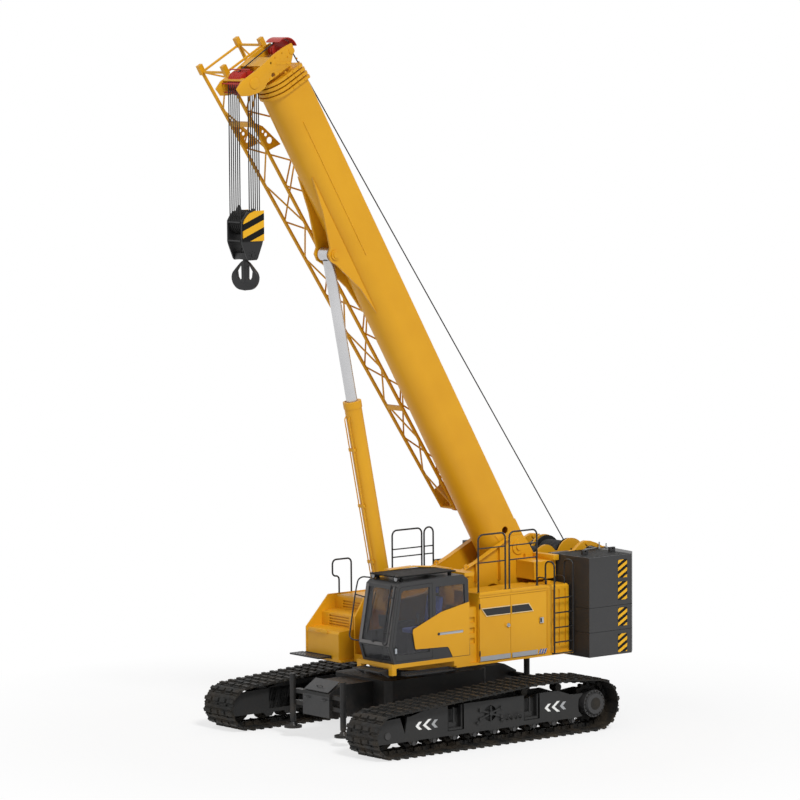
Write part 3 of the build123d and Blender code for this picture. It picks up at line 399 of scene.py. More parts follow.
def makeSurface(name, special):
    spec = {**usual, **special}
    material, tree, shader, where = startMaterial(name)
    spots = useGroup(tree, "mottle", where)
    dust = useGroup(tree, "dust", where, Top=spec["dustTop"])
    bump = useGroup(tree, "bump", where, Scale=spec["grain"], Strength=spec["grainStrength"])
    body = mixColour(tree, spots["Broad"], spec["colour"], spec["tone"])
    amount = math2(tree, "MULTIPLY", dust["Mask"], spec["dustAmount"])
    tree.links.new(mixColour(tree, amount, body, spec["dust"]), shader.inputs["Base Color"])
    low, high = spec["rough"]
    gloss = ranged(tree, spots["Fine"], 0.0, 1.0, low, high)
    rougher = math2(tree, "ADD", gloss, math2(tree, "MULTIPLY", amount, spec["dustRough"]))
    tree.links.new(math2(tree, "MINIMUM", rougher, spec["roughest"]), shader.inputs["Roughness"])
    shader.inputs["Metallic"].default_value = spec["metallic"]
    shader.inputs["Coat Weight"].default_value = spec["coat"]
    shader.inputs["Coat Roughness"].default_value = spec["coatRough"]
    shader.inputs["Specular IOR Level"].default_value = spec["specular"]
    tree.links.new(bump["Normal"], shader.inputs["Normal"])
    return material


def wavePattern(tree, where, scale, distortion=0.0, direction=None):
    wave = tree.nodes.new("ShaderNodeTexWave")
    if direction:
        wave.wave_type = "BANDS"
        wave.bands_direction = direction
    wave.inputs["Scale"].default_value = scale
    wave.inputs["Distortion"].default_value = distortion
    tree.links.new(where, wave.inputs["Vector"])
    return wave.outputs["Fac"]


def addRelief(tree, shader, height, strength, distance):
    bump = tree.nodes.new("ShaderNodeBump")
    bump.inputs["Strength"].default_value = strength
    bump.inputs["Distance"].default_value = distance
    tree.links.new(height, bump.inputs["Height"])
    tree.links.new(bump.outputs["Normal"], shader.inputs["Normal"])


glass = {"tints": ((0.060, 0.060, 0.066), (0.075, 0.075, 0.082)), "rough": (0.03, 0.07), "ior": 1.5,
         "alpha": 0.30, "specular": 0.6}


def makeGlass():
    material, tree, shader, where = startMaterial("tintedGlass")
    spots = useGroup(tree, "mottle", where)
    tree.links.new(mixColour(tree, spots["Broad"], *glass["tints"]), shader.inputs["Base Color"])
    tree.links.new(ranged(tree, spots["Fine"], 0.0, 1.0, *glass["rough"]), shader.inputs["Roughness"])
    shader.inputs["IOR"].default_value = glass["ior"]
    shader.inputs["Alpha"].default_value = glass["alpha"]
    shader.inputs["Specular IOR Level"].default_value = glass["specular"]
    return material


lens = {"tints": ((0.20, 0.20, 0.21), (0.30, 0.30, 0.31)), "ribs": 60.0, "rough": 0.12, "coat": 0.6,
        "relief": (0.25, 0.002)}


def makeLens():
    material, tree, shader, where = startMaterial("lampLens")
    ribs = wavePattern(tree, where, lens["ribs"])
    tree.links.new(mixColour(tree, ribs, *lens["tints"]), shader.inputs["Base Color"])
    shader.inputs["Roughness"].default_value = lens["rough"]
    shader.inputs["Coat Weight"].default_value = lens["coat"]
    addRelief(tree, shader, ribs, *lens["relief"])
    return material


seatCloth = {"blues": ((0.10, 0.15, 0.55), (0.08, 0.12, 0.48)), "thread": (0.16, 0.21, 0.62),
             "threadShare": 0.25, "weave": (90.0, 1.5), "rough": 0.85, "sheen": 0.25, "relief": (0.3, 0.002)}


def makeSeatCloth():
    material, tree, shader, where = startMaterial("seatCloth")
    spots = useGroup(tree, "mottle", where)
    weave = wavePattern(tree, where, *seatCloth["weave"])
    blue = mixColour(tree, spots["Broad"], *seatCloth["blues"])
    share = math2(tree, "MULTIPLY", weave, seatCloth["threadShare"])
    tree.links.new(mixColour(tree, share, blue, seatCloth["thread"]), shader.inputs["Base Color"])
    shader.inputs["Roughness"].default_value = seatCloth["rough"]
    shader.inputs["Sheen Weight"].default_value = seatCloth["sheen"]
    addRelief(tree, shader, weave, *seatCloth["relief"])
    return material


wireRope = {"tints": ((0.012, 0.012, 0.013), (0.035, 0.034, 0.033)), "strands": 28.0, "metallic": 0.6,
            "rough": 0.5, "relief": (0.6, 0.003)}


def makeRope():
    material, tree, shader, where = startMaterial("wireRope")
    strands = wavePattern(tree, where, wireRope["strands"], direction="DIAGONAL")
    tree.links.new(mixColour(tree, strands, *wireRope["tints"]), shader.inputs["Base Color"])
    shader.inputs["Metallic"].default_value = wireRope["metallic"]
    shader.inputs["Roughness"].default_value = wireRope["rough"]
    addRelief(tree, shader, strands, *wireRope["relief"])
    return material


# slanting stripes: direction square to them, width of a yellow and a black one, and the black one's share
hazard = {
    "rows": {"hazardWeight": ((0.56, 0.0, 1.0), 0.117, 0.5), "hazardBlock": ((0.4, 0.0, 1.0), 0.239, 0.48)},
    "yellow": ((0.82, 0.44, 0.02), (0.76, 0.40, 0.018)),
    "black": ((0.004, 0.004, 0.004), (0.003, 0.003, 0.003)),
    "rough": 0.5,
    "specular": 0.15,
    "grain": {"Scale": 90.0, "Strength": 0.04},
}


def makeHazard(name, slope, period, share):
    material, tree, shader, where = startMaterial(name)
    spots = useGroup(tree, "mottle", where)
    along = tree.nodes.new("ShaderNodeVectorMath")
    along.operation = "DOT_PRODUCT"
    along.inputs[1].default_value = Vector(slope).normalized()
    tree.links.new(where, along.inputs[0])
    phase = math2(tree, "FRACT", math2(tree, "DIVIDE", along.outputs["Value"], period), 0.0)
    stripe = math2(tree, "LESS_THAN", phase, share)
    yellow = mixColour(tree, spots["Broad"], *hazard["yellow"])
    black = mixColour(tree, spots["Broad"], *hazard["black"])
    tree.links.new(mixColour(tree, stripe, yellow, black), shader.inputs["Base Color"])
    shader.inputs["Roughness"].default_value = hazard["rough"]
    shader.inputs["Specular IOR Level"].default_value = hazard["specular"]
    bump = useGroup(tree, "bump", where, **hazard["grain"])
    tree.links.new(bump["Normal"], shader.inputs["Normal"])
    return material


looks = {name: makeSurface(name, spec) for name, spec in surfaces.items()}
looks["tintedGlass"] = makeGlass()
looks["seatCloth"] = makeSeatCloth()
looks["wireRope"] = makeRope()
looks["lampLens"] = makeLens()
for row, spec in hazard["rows"].items():
    looks[row] = makeHazard(row, *spec)

dressed = {
    "machineYellow": (
        "turntable_frame", "deck_frame", "cab_side_panel", "left_house", "house_door_front",
        "house_door_rear", "fuel_tank", "right_hood", "boom_base", "boom_section_2", "boom_section_3",
        "boom_section_4", "boom_section_5", "boom_head", "lattice_jib", "lift_barrel",
    ),
    "charcoal": ("cab_shell", "cab_door", "counterweight"),
    "chassisBlack": (
        "carbody", "jack_sleeves", "track_frame_left", "track_frame_right", "jack_rod_front_left",
        "jack_rod_front_right", "jack_rod_rear_left", "jack_rod_rear_right",
    ),
    "roofBlack": ("cab_roof_guard",),
    "trimBlack": ("exhaust_box", "handrails", "access_steps", "hook_block", "hook"),
    "trackSteel": (
        "slew_ring", "track_loop_left", "track_loop_right", "track_wheels_left", "track_wheels_right",
        "engine_block", "aux_winch_drum", "main_winch_drum", "block_sheaves",
    ),
    "rodSteel": ("lift_rod",),
    "sheaveRed": ("head_sheaves",),
    "tintedGlass": ("cab_glass",),
    "seatCloth": ("operator_seat",),
    "plainPlastic": ("cab_console",),
    "wireRope": ("hoist_falls",),
}


def dressNodes():
    for look, names in dressed.items():
        for name in names:
            node = nodes[name]
            node.data.materials.clear()
            node.data.materials.append(looks[look])
    bare = sorted(set(nodes) - {n for names in dressed.values() for n in names})
    print("materials set, undressed nodes:", bare)


dressNodes()


# shapes: helpers that use Blender's own operators, as by hand

def clearSelection():
    if bpy.context.object and bpy.context.object.mode != "OBJECT":
        bpy.ops.object.mode_set(mode="OBJECT")
    bpy.ops.object.select_all(action="DESELECT")


def useObject(piece):
    clearSelection()
    piece.select_set(True)
    bpy.context.view_layer.objects.active = piece


def addPlate(name, outline, start, end, axis="Y"):
    # a filled circle with a corner for each point, moved onto the outline and extruded
    clearSelection()
    bpy.ops.mesh.primitive_circle_add(vertices=len(outline), radius=1.0, fill_type="NGON")
    piece = bpy.context.object
    piece.name = name
    for vertex, (a, b) in zip(piece.data.vertices, outline):
        vertex.co = {"X": (start, a, b), "Y": (a, start, b), "Z": (a, b, start)}[axis]
    depth = end - start
    bpy.ops.object.mode_set(mode="EDIT")
    bpy.ops.mesh.select_all(action="SELECT")
    move = {"X": (depth, 0, 0), "Y": (0, depth, 0), "Z": (0, 0, depth)}[axis]
    bpy.ops.mesh.extrude_region_move(TRANSFORM_OT_translate={"value": move})
    bpy.ops.mesh.select_all(action="SELECT")
    bpy.ops.mesh.normals_make_consistent(inside=False)
    bpy.ops.object.mode_set(mode="OBJECT")
    return piece


def addBlock(name, low, high):
    clearSelection()
    size = [b - a for a, b in zip(low, high)]
    middle = [(a + b) / 2 for a, b in zip(low, high)]
    bpy.ops.mesh.primitive_cube_add(size=1.0, location=middle, scale=size)
    piece = bpy.context.object
    piece.name = name
    bpy.ops.object.transform_apply(location=True, rotation=True, scale=True)
    return piece


def addRound(name, start, end, radius, sides=24, radiusEnd=None):
    # a round bar or cone between two points
    clearSelection()
    a, b = Vector(start), Vector(end)
    far = radius if radiusEnd is None else radiusEnd
    bpy.ops.mesh.primitive_cone_add(vertices=sides, radius1=radius, radius2=far, depth=(b - a).length)
    piece = bpy.context.object
    piece.name = name
    turn = (b - a).to_track_quat("Z", "Y").to_matrix().to_4x4()
    piece.data.transform(Matrix.Translation((a + b) / 2) @ turn)
    return piece


def roundedPath(points, bend, steps, longest=0.48):
    # the corners of a bent tube as arcs, each with no more than a share of its straight parts
    corners = [Vector(p) for p in points]
    path = [corners[0]]
    for before, corner, after in zip(corners, corners[1:], corners[2:]):
        back, on = (before - corner).normalized(), (after - corner).normalized()
        angle = back.angle(on)
        reach = min(bend, (before - corner).length * longest, (after - corner).length * longest)
        radius = reach * math.tan(angle / 2)
        centre = corner + (back + on).normalized() * (radius / math.sin(angle / 2))
        first = corner + back * reach - centre
        last = corner + on * reach - centre
        sweep = first.angle(last)
        for step in range(steps + 1):
            t = step / steps
            between = first * math.sin((1 - t) * sweep) + last * math.sin(t * sweep)
            path.append(centre + between / math.sin(sweep))
    path.append(corners[-1])
    return path


def addTube(name, points, radius, bend=0.08, sides=3, steps=6):
    data = bpy.data.curves.new(name, "CURVE")
    data.dimensions = "3D"
    data.bevel_depth = radius
    data.bevel_resolution = sides
    data.use_fill_caps = True
    path = roundedPath(points, bend, steps) if len(points) > 2 else [Vector(p) for p in points]
    spline = data.splines.new("POLY")
    spline.points.add(len(path) - 1)
    for point, place in zip(spline.points, path):
        point.co = (*place, 1.0)
    piece = bpy.data.objects.new(name, data)
    bpy.context.scene.collection.objects.link(piece)
    useObject(piece)
    bpy.ops.object.convert(target="MESH")
    return bpy.context.object


def softenEdges(piece, width, segments=2, angle=35):
    useObject(piece)
    bevel = piece.modifiers.new("edges", "BEVEL")
    bevel.width = width
    bevel.segments = segments
    bevel.limit_method = "ANGLE"
    bevel.angle_limit = math.radians(angle)
    bevel.use_clamp_overlap = True
    bpy.ops.object.modifier_apply(modifier=bevel.name)
    return piece


def cutWith(piece, tool):
    # takes the tool's shape out of the piece
    useObject(piece)
    cut = piece.modifiers.new("cut", "BOOLEAN")
    cut.operation = "DIFFERENCE"
    cut.object = tool
    cut.solver = "EXACT"
    bpy.ops.object.modifier_apply(modifier=cut.name)
    bpy.data.objects.remove(tool, do_unlink=True)
    return piece


def insetFaces(piece, direction, thickness, depth, smallest=0.0, facing=0.98):
    # insets the faces that look along a direction and moves the middle in or out
    useObject(piece)
    wanted = Vector(direction).normalized()
    bpy.ops.object.mode_set(mode="EDIT")
    bpy.ops.mesh.select_all(action="DESELECT")
    bpy.ops.object.mode_set(mode="OBJECT")
    for face in piece.data.polygons:
        face.select = face.normal.dot(wanted) > facing and face.area > smallest
    bpy.ops.object.mode_set(mode="EDIT")
    bpy.ops.mesh.select_mode(type="FACE")
    bpy.ops.mesh.inset(thickness=thickness, depth=depth, use_individual=True)
    bpy.ops.object.mode_set(mode="OBJECT")
    return piece


def copyPiece(piece, matrix):
    twin = piece.copy()
    twin.data = piece.data.copy()
    twin.data.transform(matrix)
    if matrix.determinant() < 0:
        twin.data.flip_normals()
    bpy.context.scene.collection.objects.link(twin)
    return twin


def mirrored(piece):
    return copyPiece(piece, Matrix.Scale(-1, 4, (0, 1, 0)))


def joinPieces(pieces, name):
    clearSelection()
    for piece in pieces:
        piece.select_set(True)
    bpy.context.view_layer.objects.active = pieces[0]
    if len(pieces) > 1:
        bpy.ops.object.join()
    joined = bpy.context.view_layer.objects.active
    joined.name = name
    return joined


def finishPiece(piece, look, body, smooth=30, name=None):
    useObject(piece)
    bpy.ops.object.transform_apply(location=True, rotation=True, scale=True)
    bpy.ops.object.shade_smooth_by_angle(angle=math.radians(smooth))
    piece.data.materials.clear()
    piece.data.materials.append(looks[look])
    if name:
        piece.name = name
    if body:
        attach(piece, body)
    return piece


# a bolt's washer and the start of its head as shares of the bolt's height, and the washer's of its radius
boltShares = {"washer": 0.22, "headFrom": 0.2, "washerRadius": 1.25}


def boltHead(name, radius, height):
    # six-sided head on its washer, standing on the ground plane
    washerTop, headFoot = (0, 0, height * boltShares["washer"]), (0, 0, height * boltShares["headFrom"])
    washer = addRound(name + "Washer", (0, 0, 0), washerTop, radius * boltShares["washerRadius"], 12)
    head = addRound(name, headFoot, (0, 0, height), radius, 6)
    return joinPieces([head, washer], name)


def boltRow(name, places, direction, radius, height, look, body):
    # bolt heads at the places, each turned to stand along the direction
    turn = Vector(direction).to_track_quat("Z", "Y").to_matrix().to_4x4()
    source = boltHead(name, radius, height)
    copies = [copyPiece(source, Matrix.Translation(Vector(p)) @ turn) for p in places]
    bpy.data.objects.remove(source, do_unlink=True)
    return finishPiece(joinPieces(copies, name), look, body)


def moved(points, x=0.0, y=0.0, z=0.0):
    # the same points at another place
    return [(a + x, b + y, c + z) for a, b, c in points]


# the boom's foot and its angle at rest: a shape is drawn with x along the boom, then raised
boomAxis = {"foot": Vector((-2.35, 0, 3.35)), "angle": math.radians(60)}
boomPlace = Matrix.Translation(boomAxis["foot"]) @ Matrix.Rotation(-boomAxis["angle"], 4, "Y")


def toBoom(piece):
    piece.data.transform(boomPlace)
    return piece


# crawler shoes: one shoe with its links, stepped round the line of the chain's pins

shoe = {
    "wheels": ((2.564, 0.436, 0.436), (-2.49, 0.51, 0.51), (-1.75, 0.8747, 0.2153), (-0.9, 0.8747, 0.2153)),
    "pinDepth": 0.095,
    "pitch": 0.2,
    "middleY": 2.2,
    "inside": (0, 0, 0.5),
    "half": 0.45,
    "plate": ((-0.132, 0.020), (-0.100, 0.040), (0.096, 0.040), (0.096, 0.060), (-0.030, 0.060),
              (-0.034, 0.077), (-0.052, 0.077), (-0.058, 0.060), (-0.098, 0.056), (-0.132, 0.034)),
    "grouser": ((-0.002, 0.058), (0.080, 0.058), (0.074, 0.095), (0.006, 0.095)),
    "grouserRuns": ((-0.45, -0.25), (-0.19, -0.03), (0.03, 0.19), (0.25, 0.45)),
    "slots": (-0.28, 0.0, 0.28),
    "slot": ((-0.0608, -0.05, 0.046), (-0.019, 0.05, 0.1)),
    "linkRear": ((-0.128, -0.018), (-0.112, -0.040), (-0.086, -0.042), (-0.050, -0.026), (0.01, -0.024),
                 (0.01, 0.042), (-0.115, 0.042), (-0.13, 0.02)),
    "linkRearY": (0.094, 0.118),
    "linkFrontY": (0.068, 0.092),
    "pin": {"x": -0.1, "half": 0.128, "radius": 0.017},
}


def convexHull(points):
    def turn(o, a, b):
        return (a[0] - o[0]) * (b[1] - o[1]) - (a[1] - o[1]) * (b[0] - o[0])

    def halfHull(row):
        chain = []
        for point in row:
            while len(chain) > 1 and turn(chain[-2], chain[-1], point) <= 0:
                chain.pop()
            chain.append(point)
        return chain[:-1]

    ordered = sorted(points)
    return halfHull(ordered) + halfHull(ordered[::-1])


def chainLine(inset, steps=240):
    # the line that the pins follow round the wheels
    points = []
    for x, z, radius in shoe["wheels"]:
        for step in range(steps):
            a = 2 * math.pi * step / steps
            points.append((x + (radius - inset) * math.cos(a), z + (radius - inset) * math.sin(a)))
    return [Vector((x, 0, z)) for x, z in convexHull(points)]


def evenSteps(line, pitch):
    ends = line + [line[0]]
    lengths = [(b - a).length for a, b in zip(ends, ends[1:])]
    count = round(sum(lengths) / pitch)
    step = sum(lengths) / count
    stations, walked, index = [], 0.0, 0
    for number in range(count):
        goal = number * step
        while walked + lengths[index] < goal:
            walked += lengths[index]
            index += 1
        stations.append(ends[index].lerp(ends[index + 1], (goal - walked) / lengths[index]))
    return stations


def makeShoe():
    half = shoe["half"]
    plate = addPlate("shoePlate", shoe["plate"], -half, half)
    for y in shoe["slots"]:
        cutWith(plate, addBlock("slot", *moved(shoe["slot"], y=y)))
    parts = [plate]
    for start, end in shoe["grouserRuns"]:
        parts.append(addPlate("grouser", shoe["grouser"], start, end))
    front = [(-x, z) for x, z in shoe["linkRear"]]
    for side in (1, -1):
        parts.append(addPlate("linkRear", shoe["linkRear"], *[side * y for y in shoe["linkRearY"]]))
        parts.append(addPlate("linkFront", front, *[side * y for y in shoe["linkFrontY"]]))
    pin = shoe["pin"]
    left, right = (pin["x"], pin["half"], 0), (pin["x"], -pin["half"], 0)
    parts.append(addRound("linkPin", right, left, pin["radius"], 8))
    return joinPieces(parts, "shoe")


def makeShoeLoops():
    source = makeShoe()
    stations = evenSteps(chainLine(shoe["pinDepth"]), shoe["pitch"])
    inside = Vector(shoe["inside"])
    for side, sign in (("left", 1), ("right", -1)):
        copies = []
        aside = Vector((0, sign * shoe["middleY"], 0))
        for a, b in zip(stations, stations[1:] + stations[:1]):
            along = (b - a).normalized()
            out = Vector((-along.z, 0, along.x))
            if out.dot((a + b) / 2 - inside) < 0:
                out = -out
            turn = Matrix((along, out.cross(along), out)).transposed().to_4x4()
            copies.append(copyPiece(source, Matrix.Translation((a + b) / 2 + aside) @ turn))
        loop = joinPieces(copies, "crawlerShoes_" + side)
        finishPiece(loop, "trackSteel", "crawler_" + side)
        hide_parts("track_loop_" + side)
    bpy.data.objects.remove(source, do_unlink=True)
    print("crawler shoes made:", len(stations), "a side")


makeShoeLoops()


# bolts and caps at the crawler's wheels, and the arrows on its side frames

rollerX = [-1.95 + 0.4875 * i for i in range(9)]

# a cap is its radius on the face, radius at its end, height, sides, rim and dish
wheelTrim = {
    "faceY": 2.47,
    "rollerZ": 0.24,
    "rollerCap": (0.042, 0.042, 0.016, 20, 0.012, -0.006),
    "drive": (-2.49, 0.51),
    "driveFace": 2.49,
    "driveCap": (0.216, 0.195, 0.032, 48, 0.03, -0.004),
    "driveRing": {"start": 2.2, "radius": 0.262, "rise": 0.008},
    "driveBolts": (20, 0.236),
    "idler": (2.564, 0.436),
    "idlerCap": (0.075, 0.068, 0.018, 24, 0.02, -0.005),
    "rollerBolts": {"apart": 0.075, "z": 0.262},
    "bolt": (0.012, 0.014),
}

arrows = {
    "row": ((1.90, 0.155, 0.147, "decalWhite"), (1.727, 0.207, 0.2, "decalWhite"),
            (1.52, 0.155, 0.15, "bandGrey")),
    "shifts": (0.0, -3.15),
    "height": 0.55,
    "band": 0.075,
    "faceY": 2.4702,
    "thick": 0.002,
}


def circlePlaces(centre, y, radius, count):
    x, z = centre
    angles = [2 * math.pi * i / count for i in range(count)]
    return [(x + radius * math.cos(a), y, z + radius * math.sin(a)) for a in angles]


def dishedCap(x, y, z, spec):
    foot, end, height, sides, rim, dish = spec
    cap = addRound("cap", (x, y, z), (x, y + height, z), foot, sides, end)
    return insetFaces(cap, (0, 1, 0), rim, dish)


def makeWheelTrim():
    w = wheelTrim
    face, ring, bolts = w["faceY"], w["driveRing"], w["rollerBolts"]
    caps = [dishedCap(x, face, w["rollerZ"], w["rollerCap"]) for x in rollerX]
    x, z = w["drive"]
    caps.append(dishedCap(x, w["driveFace"], z, w["driveCap"]))
    caps.append(addRound("driveRing", (x, ring["start"], z), (x, face + ring["rise"], z), ring["radius"], 48))
    x, z = w["idler"]
    caps.append(dishedCap(x, face, z, w["idlerCap"]))
    left = joinPieces(caps, "wheelCaps_left")
    right = mirrored(left)
    for piece, side in ((left, "left"), (right, "right")):
        finishPiece(piece, "charcoal", "crawler_" + side, name="wheelCaps_" + side)
    count, radius = w["driveBolts"]
    for side, sign in (("left", 1), ("right", -1)):
        spots = circlePlaces(w["drive"], sign * (face + ring["rise"]), radius, count)
        for x in rollerX:
            spots += [(x + step, sign * face, bolts["z"]) for step in (-bolts["apart"], bolts["apart"])]
        boltRow("frameBolts_" + side, spots, (0, sign, 0), *w["bolt"], "trackSteel", "crawler_" + side)


def makeArrows():
    z, band = arrows["height"], arrows["band"]
    for side, sign in (("left", 1), ("right", -1)):
        rows = {}
        y = sign * arrows["faceY"]
        for shift in arrows["shifts"]:
            for tip, length, height, look in arrows["row"]:
                half, front = height / 2, tip + shift
                back = front - (length - band)
                outline = ((front, z), (back, z + half), (back - band, z + half), (front - band, z),
                           (back - band, z - half), (back, z - half))
                arrow = addPlate("arrow", outline, y, y + sign * arrows["thick"])
                rows.setdefault(look, []).append(arrow)
        for look, parts in rows.items():
            finishPiece(joinPieces(parts, "arrows_" + look + "_" + side), look, "crawler_" + side)


makeWheelTrim()
makeArrows()
print("crawler trim made")


# blank plates, bands and hazard patches

patches = {
    "weightX": (-3.85, -3.618),
    "weightRows": ((2.765, 3.116), (2.337, 2.689), (1.83, 2.183), (1.322, 1.676)),
    "weightY": 1.9,
    "thick": 0.003,
}

doorTrim = {
    "faceY": 1.514,
    "split": (-1.220, -1.268),
    "plate": ((-0.523, 2.405), (-1.677, 2.405), (-1.782, 2.27), (-0.638, 2.27)),
    "plateRise": 0.003,
    "rim": 0.016,
    "rimPast": (1.6, 0.6),
    "rimRise": 0.0015,
    "band": (-0.476, -1.905, 1.41, 1.50),
    "bandRise": 0.002,
    "slashes": (-1.93, -1.995, -2.06),
    "slash": (0.034, 0.042),
    "slashLayers": (("decalWhite", 0.006, 0.0012), ("slashBlue", 0.0, 0.002)),
    "roundLatch": (-1.172, 2.044, 0.04),
    "latchRise": 0.012,
    "latchShares": (0.93, 0.22),
    "dish": -0.008,
    "paddle": {"long": 0.7, "high": 0.5, "y": (0.003, 0.014)},
    "squareLatch": (-2.002, 2.06, 0.09, 0.11),
    "squareRise": 0.014,
    "grip": {"share": 0.36, "y": (0.004, 0.016)},
    "hinges": {"x": -0.468, "z": (1.56, 2.46), "half": 0.05, "radius": 0.012, "sunk": 0.004},
}


def makeHazardPatches():
    x0, x1 = patches["weightX"]
    for side, sign in (("left", 1), ("right", -1)):
        y = sign * patches["weightY"]
        y0, y1 = sorted((y, y + sign * patches["thick"]))
        parts = [addBlock("patch", (x0, y0, z0), (x1, y1, z1)) for z0, z1 in patches["weightRows"]]
        finishPiece(joinPieces(parts, "weightPatches_" + side), "hazardWeight", "upperstructure")


def makeDoorTrim():
    d = doorTrim
    y = d["faceY"]
    front, rear = d["split"]
    tl, tr, br, bl = d["plate"]
    r = d["rim"]
    wide, narrow = [r * share for share in d["rimPast"]]  # past the plate's slanting corners
    top, bottom = tl[1] + r, br[1] - r
    rims = {
        "door_front": ((tl[0] + wide, top), (front, top), (front, bottom), (bl[0] + narrow, bottom)),
        "door_rear": ((rear, top), (tr[0] - narrow, top), (br[0] - wide, bottom), (rear, bottom)),
    }
    plates = {
        "door_front": (tl, (front, tr[1]), (front, br[1]), bl),
        "door_rear": ((rear, tl[1]), tr, br, (rear, bl[1])),
    }
    x0, x1, z0, z1 = d["band"]
    bands = {"door_front": (front, x0), "door_rear": (x1, rear)}
    for body in rims:
        finishPiece(addPlate("plateRim_" + body, rims[body], y, y + d["rimRise"]), "creamTrim", body)
        finishPiece(addPlate("blankPlate_" + body, plates[body], y, y + d["plateRise"]), "trimBlack", body)
        low, high = bands[body]
        band = addBlock("greyBand_" + body, (low, y, z0), (high, y + d["bandRise"], z1))
        finishPiece(band, "bandGrey", body)
    stripes = {"slashBlue": [], "decalWhite": []}
    thick, lean = d["slash"]
    for x in d["slashes"]:
        for look, grow, rise in d["slashLayers"]:
            ahead, behind = x + grow, x - thick - grow
            outline = ((ahead, z0), (behind, z0), (behind - lean, z1), (ahead - lean, z1))
            stripes[look].append(addPlate("slash", outline, y, y + rise))
    for look, parts in stripes.items():
        finishPiece(joinPieces(parts, "slashes_" + look), look, "door_rear")
    x, z, radius = d["roundLatch"]
    end, rim = d["latchShares"]
    latch = addRound("roundLatch", (x, y, z), (x, y + d["latchRise"], z), radius, 32, radius * end)
    insetFaces(latch, (0, 1, 0), radius * rim, d["dish"])
    wide, high, (y0, y1) = radius * d["paddle"]["long"], radius * d["paddle"]["high"], d["paddle"]["y"]
    paddle = addBlock("paddle", (x - wide, y + y0, z - high), (x, y + y1, z + high))
    finishPiece(joinPieces([latch, softenEdges(paddle, 0.004)], "roundLatch"), "latchSteel", "door_front")
    x, z, wide, high = d["squareLatch"]
    low, top = (x - wide / 2, y, z - high / 2), (x + wide / 2, y + d["squareRise"], z + high / 2)
    box = insetFaces(addBlock("squareLatch", low, top), (0, 1, 0), 0.010, d["dish"])
    finishPiece(softenEdges(box, 0.003), "latchSteel", "door_rear")
    share, (y0, y1) = d["grip"]["share"], d["grip"]["y"]
    grip = addBlock("latchGrip", (x, y + y0, z - high * share), (x + wide * share, y + y1, z + high * share))
    finishPiece(softenEdges(grip, 0.004), "trimBlack", "door_rear")
    hinge = d["hinges"]
    x, y = hinge["x"], y - hinge["sunk"]
    hinges = []
    for z in hinge["z"]:
        low, high = (x, y, z - hinge["half"]), (x, y, z + hinge["half"])
        hinges.append(addRound("hinge", low, high, hinge["radius"], 12))
    finishPiece(joinPieces(hinges, "frontHinges"), "trimBlack", "upperstructure")


makeHazardPatches()
makeDoorTrim()
print("plates and bands made")


# crawler side frames: beam, plates round the wheels, pockets for the cross beams and the tensioner's fitting

sideFrame = {
    "inner": 1.93,
    "outer": 2.47,
    "plate": 0.04,
    "beam": (-1.85, 1.95, 0.355, 0.76),
    "bottom": 0.285,
    "ends": (-2.01, 2.854),
    "tab": {"half": 0.125, "tip": 0.07, "drop": 0.075},
    "guard": ((2.885, 0.293), (2.915, 0.436), (2.868, 0.612), (2.780, 0.713)),
    "upper": ((2.366, 0.741), (2.02, 0.747), (1.555, 0.85), (-1.578, 0.85), (-1.92, 0.735)),
    "claw": ((-2.214, 0.736), (-2.105, 0.63), (-2.09, 0.51), (-2.105, 0.40), (-2.20, 0.30)),
    "carrier": ((-2.43, 0.78), (-2.62, 0.75), (-2.75, 0.51), (-2.62, 0.27), (-2.43, 0.24)),
    "seam": ((2.15, 0.43), (2.262, 0.742), (2.092, 0.75)),
    "beamX": 0.93,
    "pocket": (0.195, 0.13, 0.37, 0.86),
    "slide": (0.1295, 0.575, 0.855),
    # boxes in a pocket, from its middle and the outer face
    "stops": (((-0.165, -0.131, 0.369), (0.165, -0.02, 0.42)), ((-0.06, -0.131, 0.369), (0.13, -0.07, 0.52)),
              ((-0.19, -0.13, 0.37), (-0.15, -0.03, 0.84)), ((-0.02, -0.09, 0.50), (0.02, -0.06, 0.80))),
    "lugs": (-0.17, 0.42),
    "lug": ((-0.035, -0.001, 0.43), (0.035, 0.045, 0.47)),
    "hoops": (-0.58, -0.36),
    "hoop": ((-0.05, 0, 0.44), (-0.05, 0.05, 0.44), (-0.05, 0.05, 0.52), (0.05, 0.05, 0.52),
             (0.05, 0.05, 0.44), (0.05, 0, 0.44)),
}

tensioner = {
    "at": (0.095, 0.60),
    "opening": (0.15, 0.06),
    "floor": 0.061,
    "fitting": (0.07, 0.06, 0.01),
    "arms": ((18, 0.27), (162, 0.27), (198, 0.27), (342, 0.27), (90, 0.14), (270, 0.14)),
    "arm": {"start": 0.04, "half": 0.016, "low": 0.001, "high": 0.024},
    "knobFrom": 0.2,
    "knob": (0.034, 0.036),
    "hub": (0.05, 0.04),
}


def skirt(start, end):
    # lower edge of a side plate, with a tab down beside each roller
    tab, bottom = sideFrame["tab"], sideFrame["bottom"]
    low = bottom - tab["drop"]
    points = [(start, bottom)]
    wide, narrow = tab["half"], tab["tip"]
    for x in rollerX:
        corners = ((x - wide, bottom), (x - narrow, low), (x + narrow, low), (x + wide, bottom))
        points += [p for p in corners if start < p[0] < end]
    return points + [(end, bottom)]


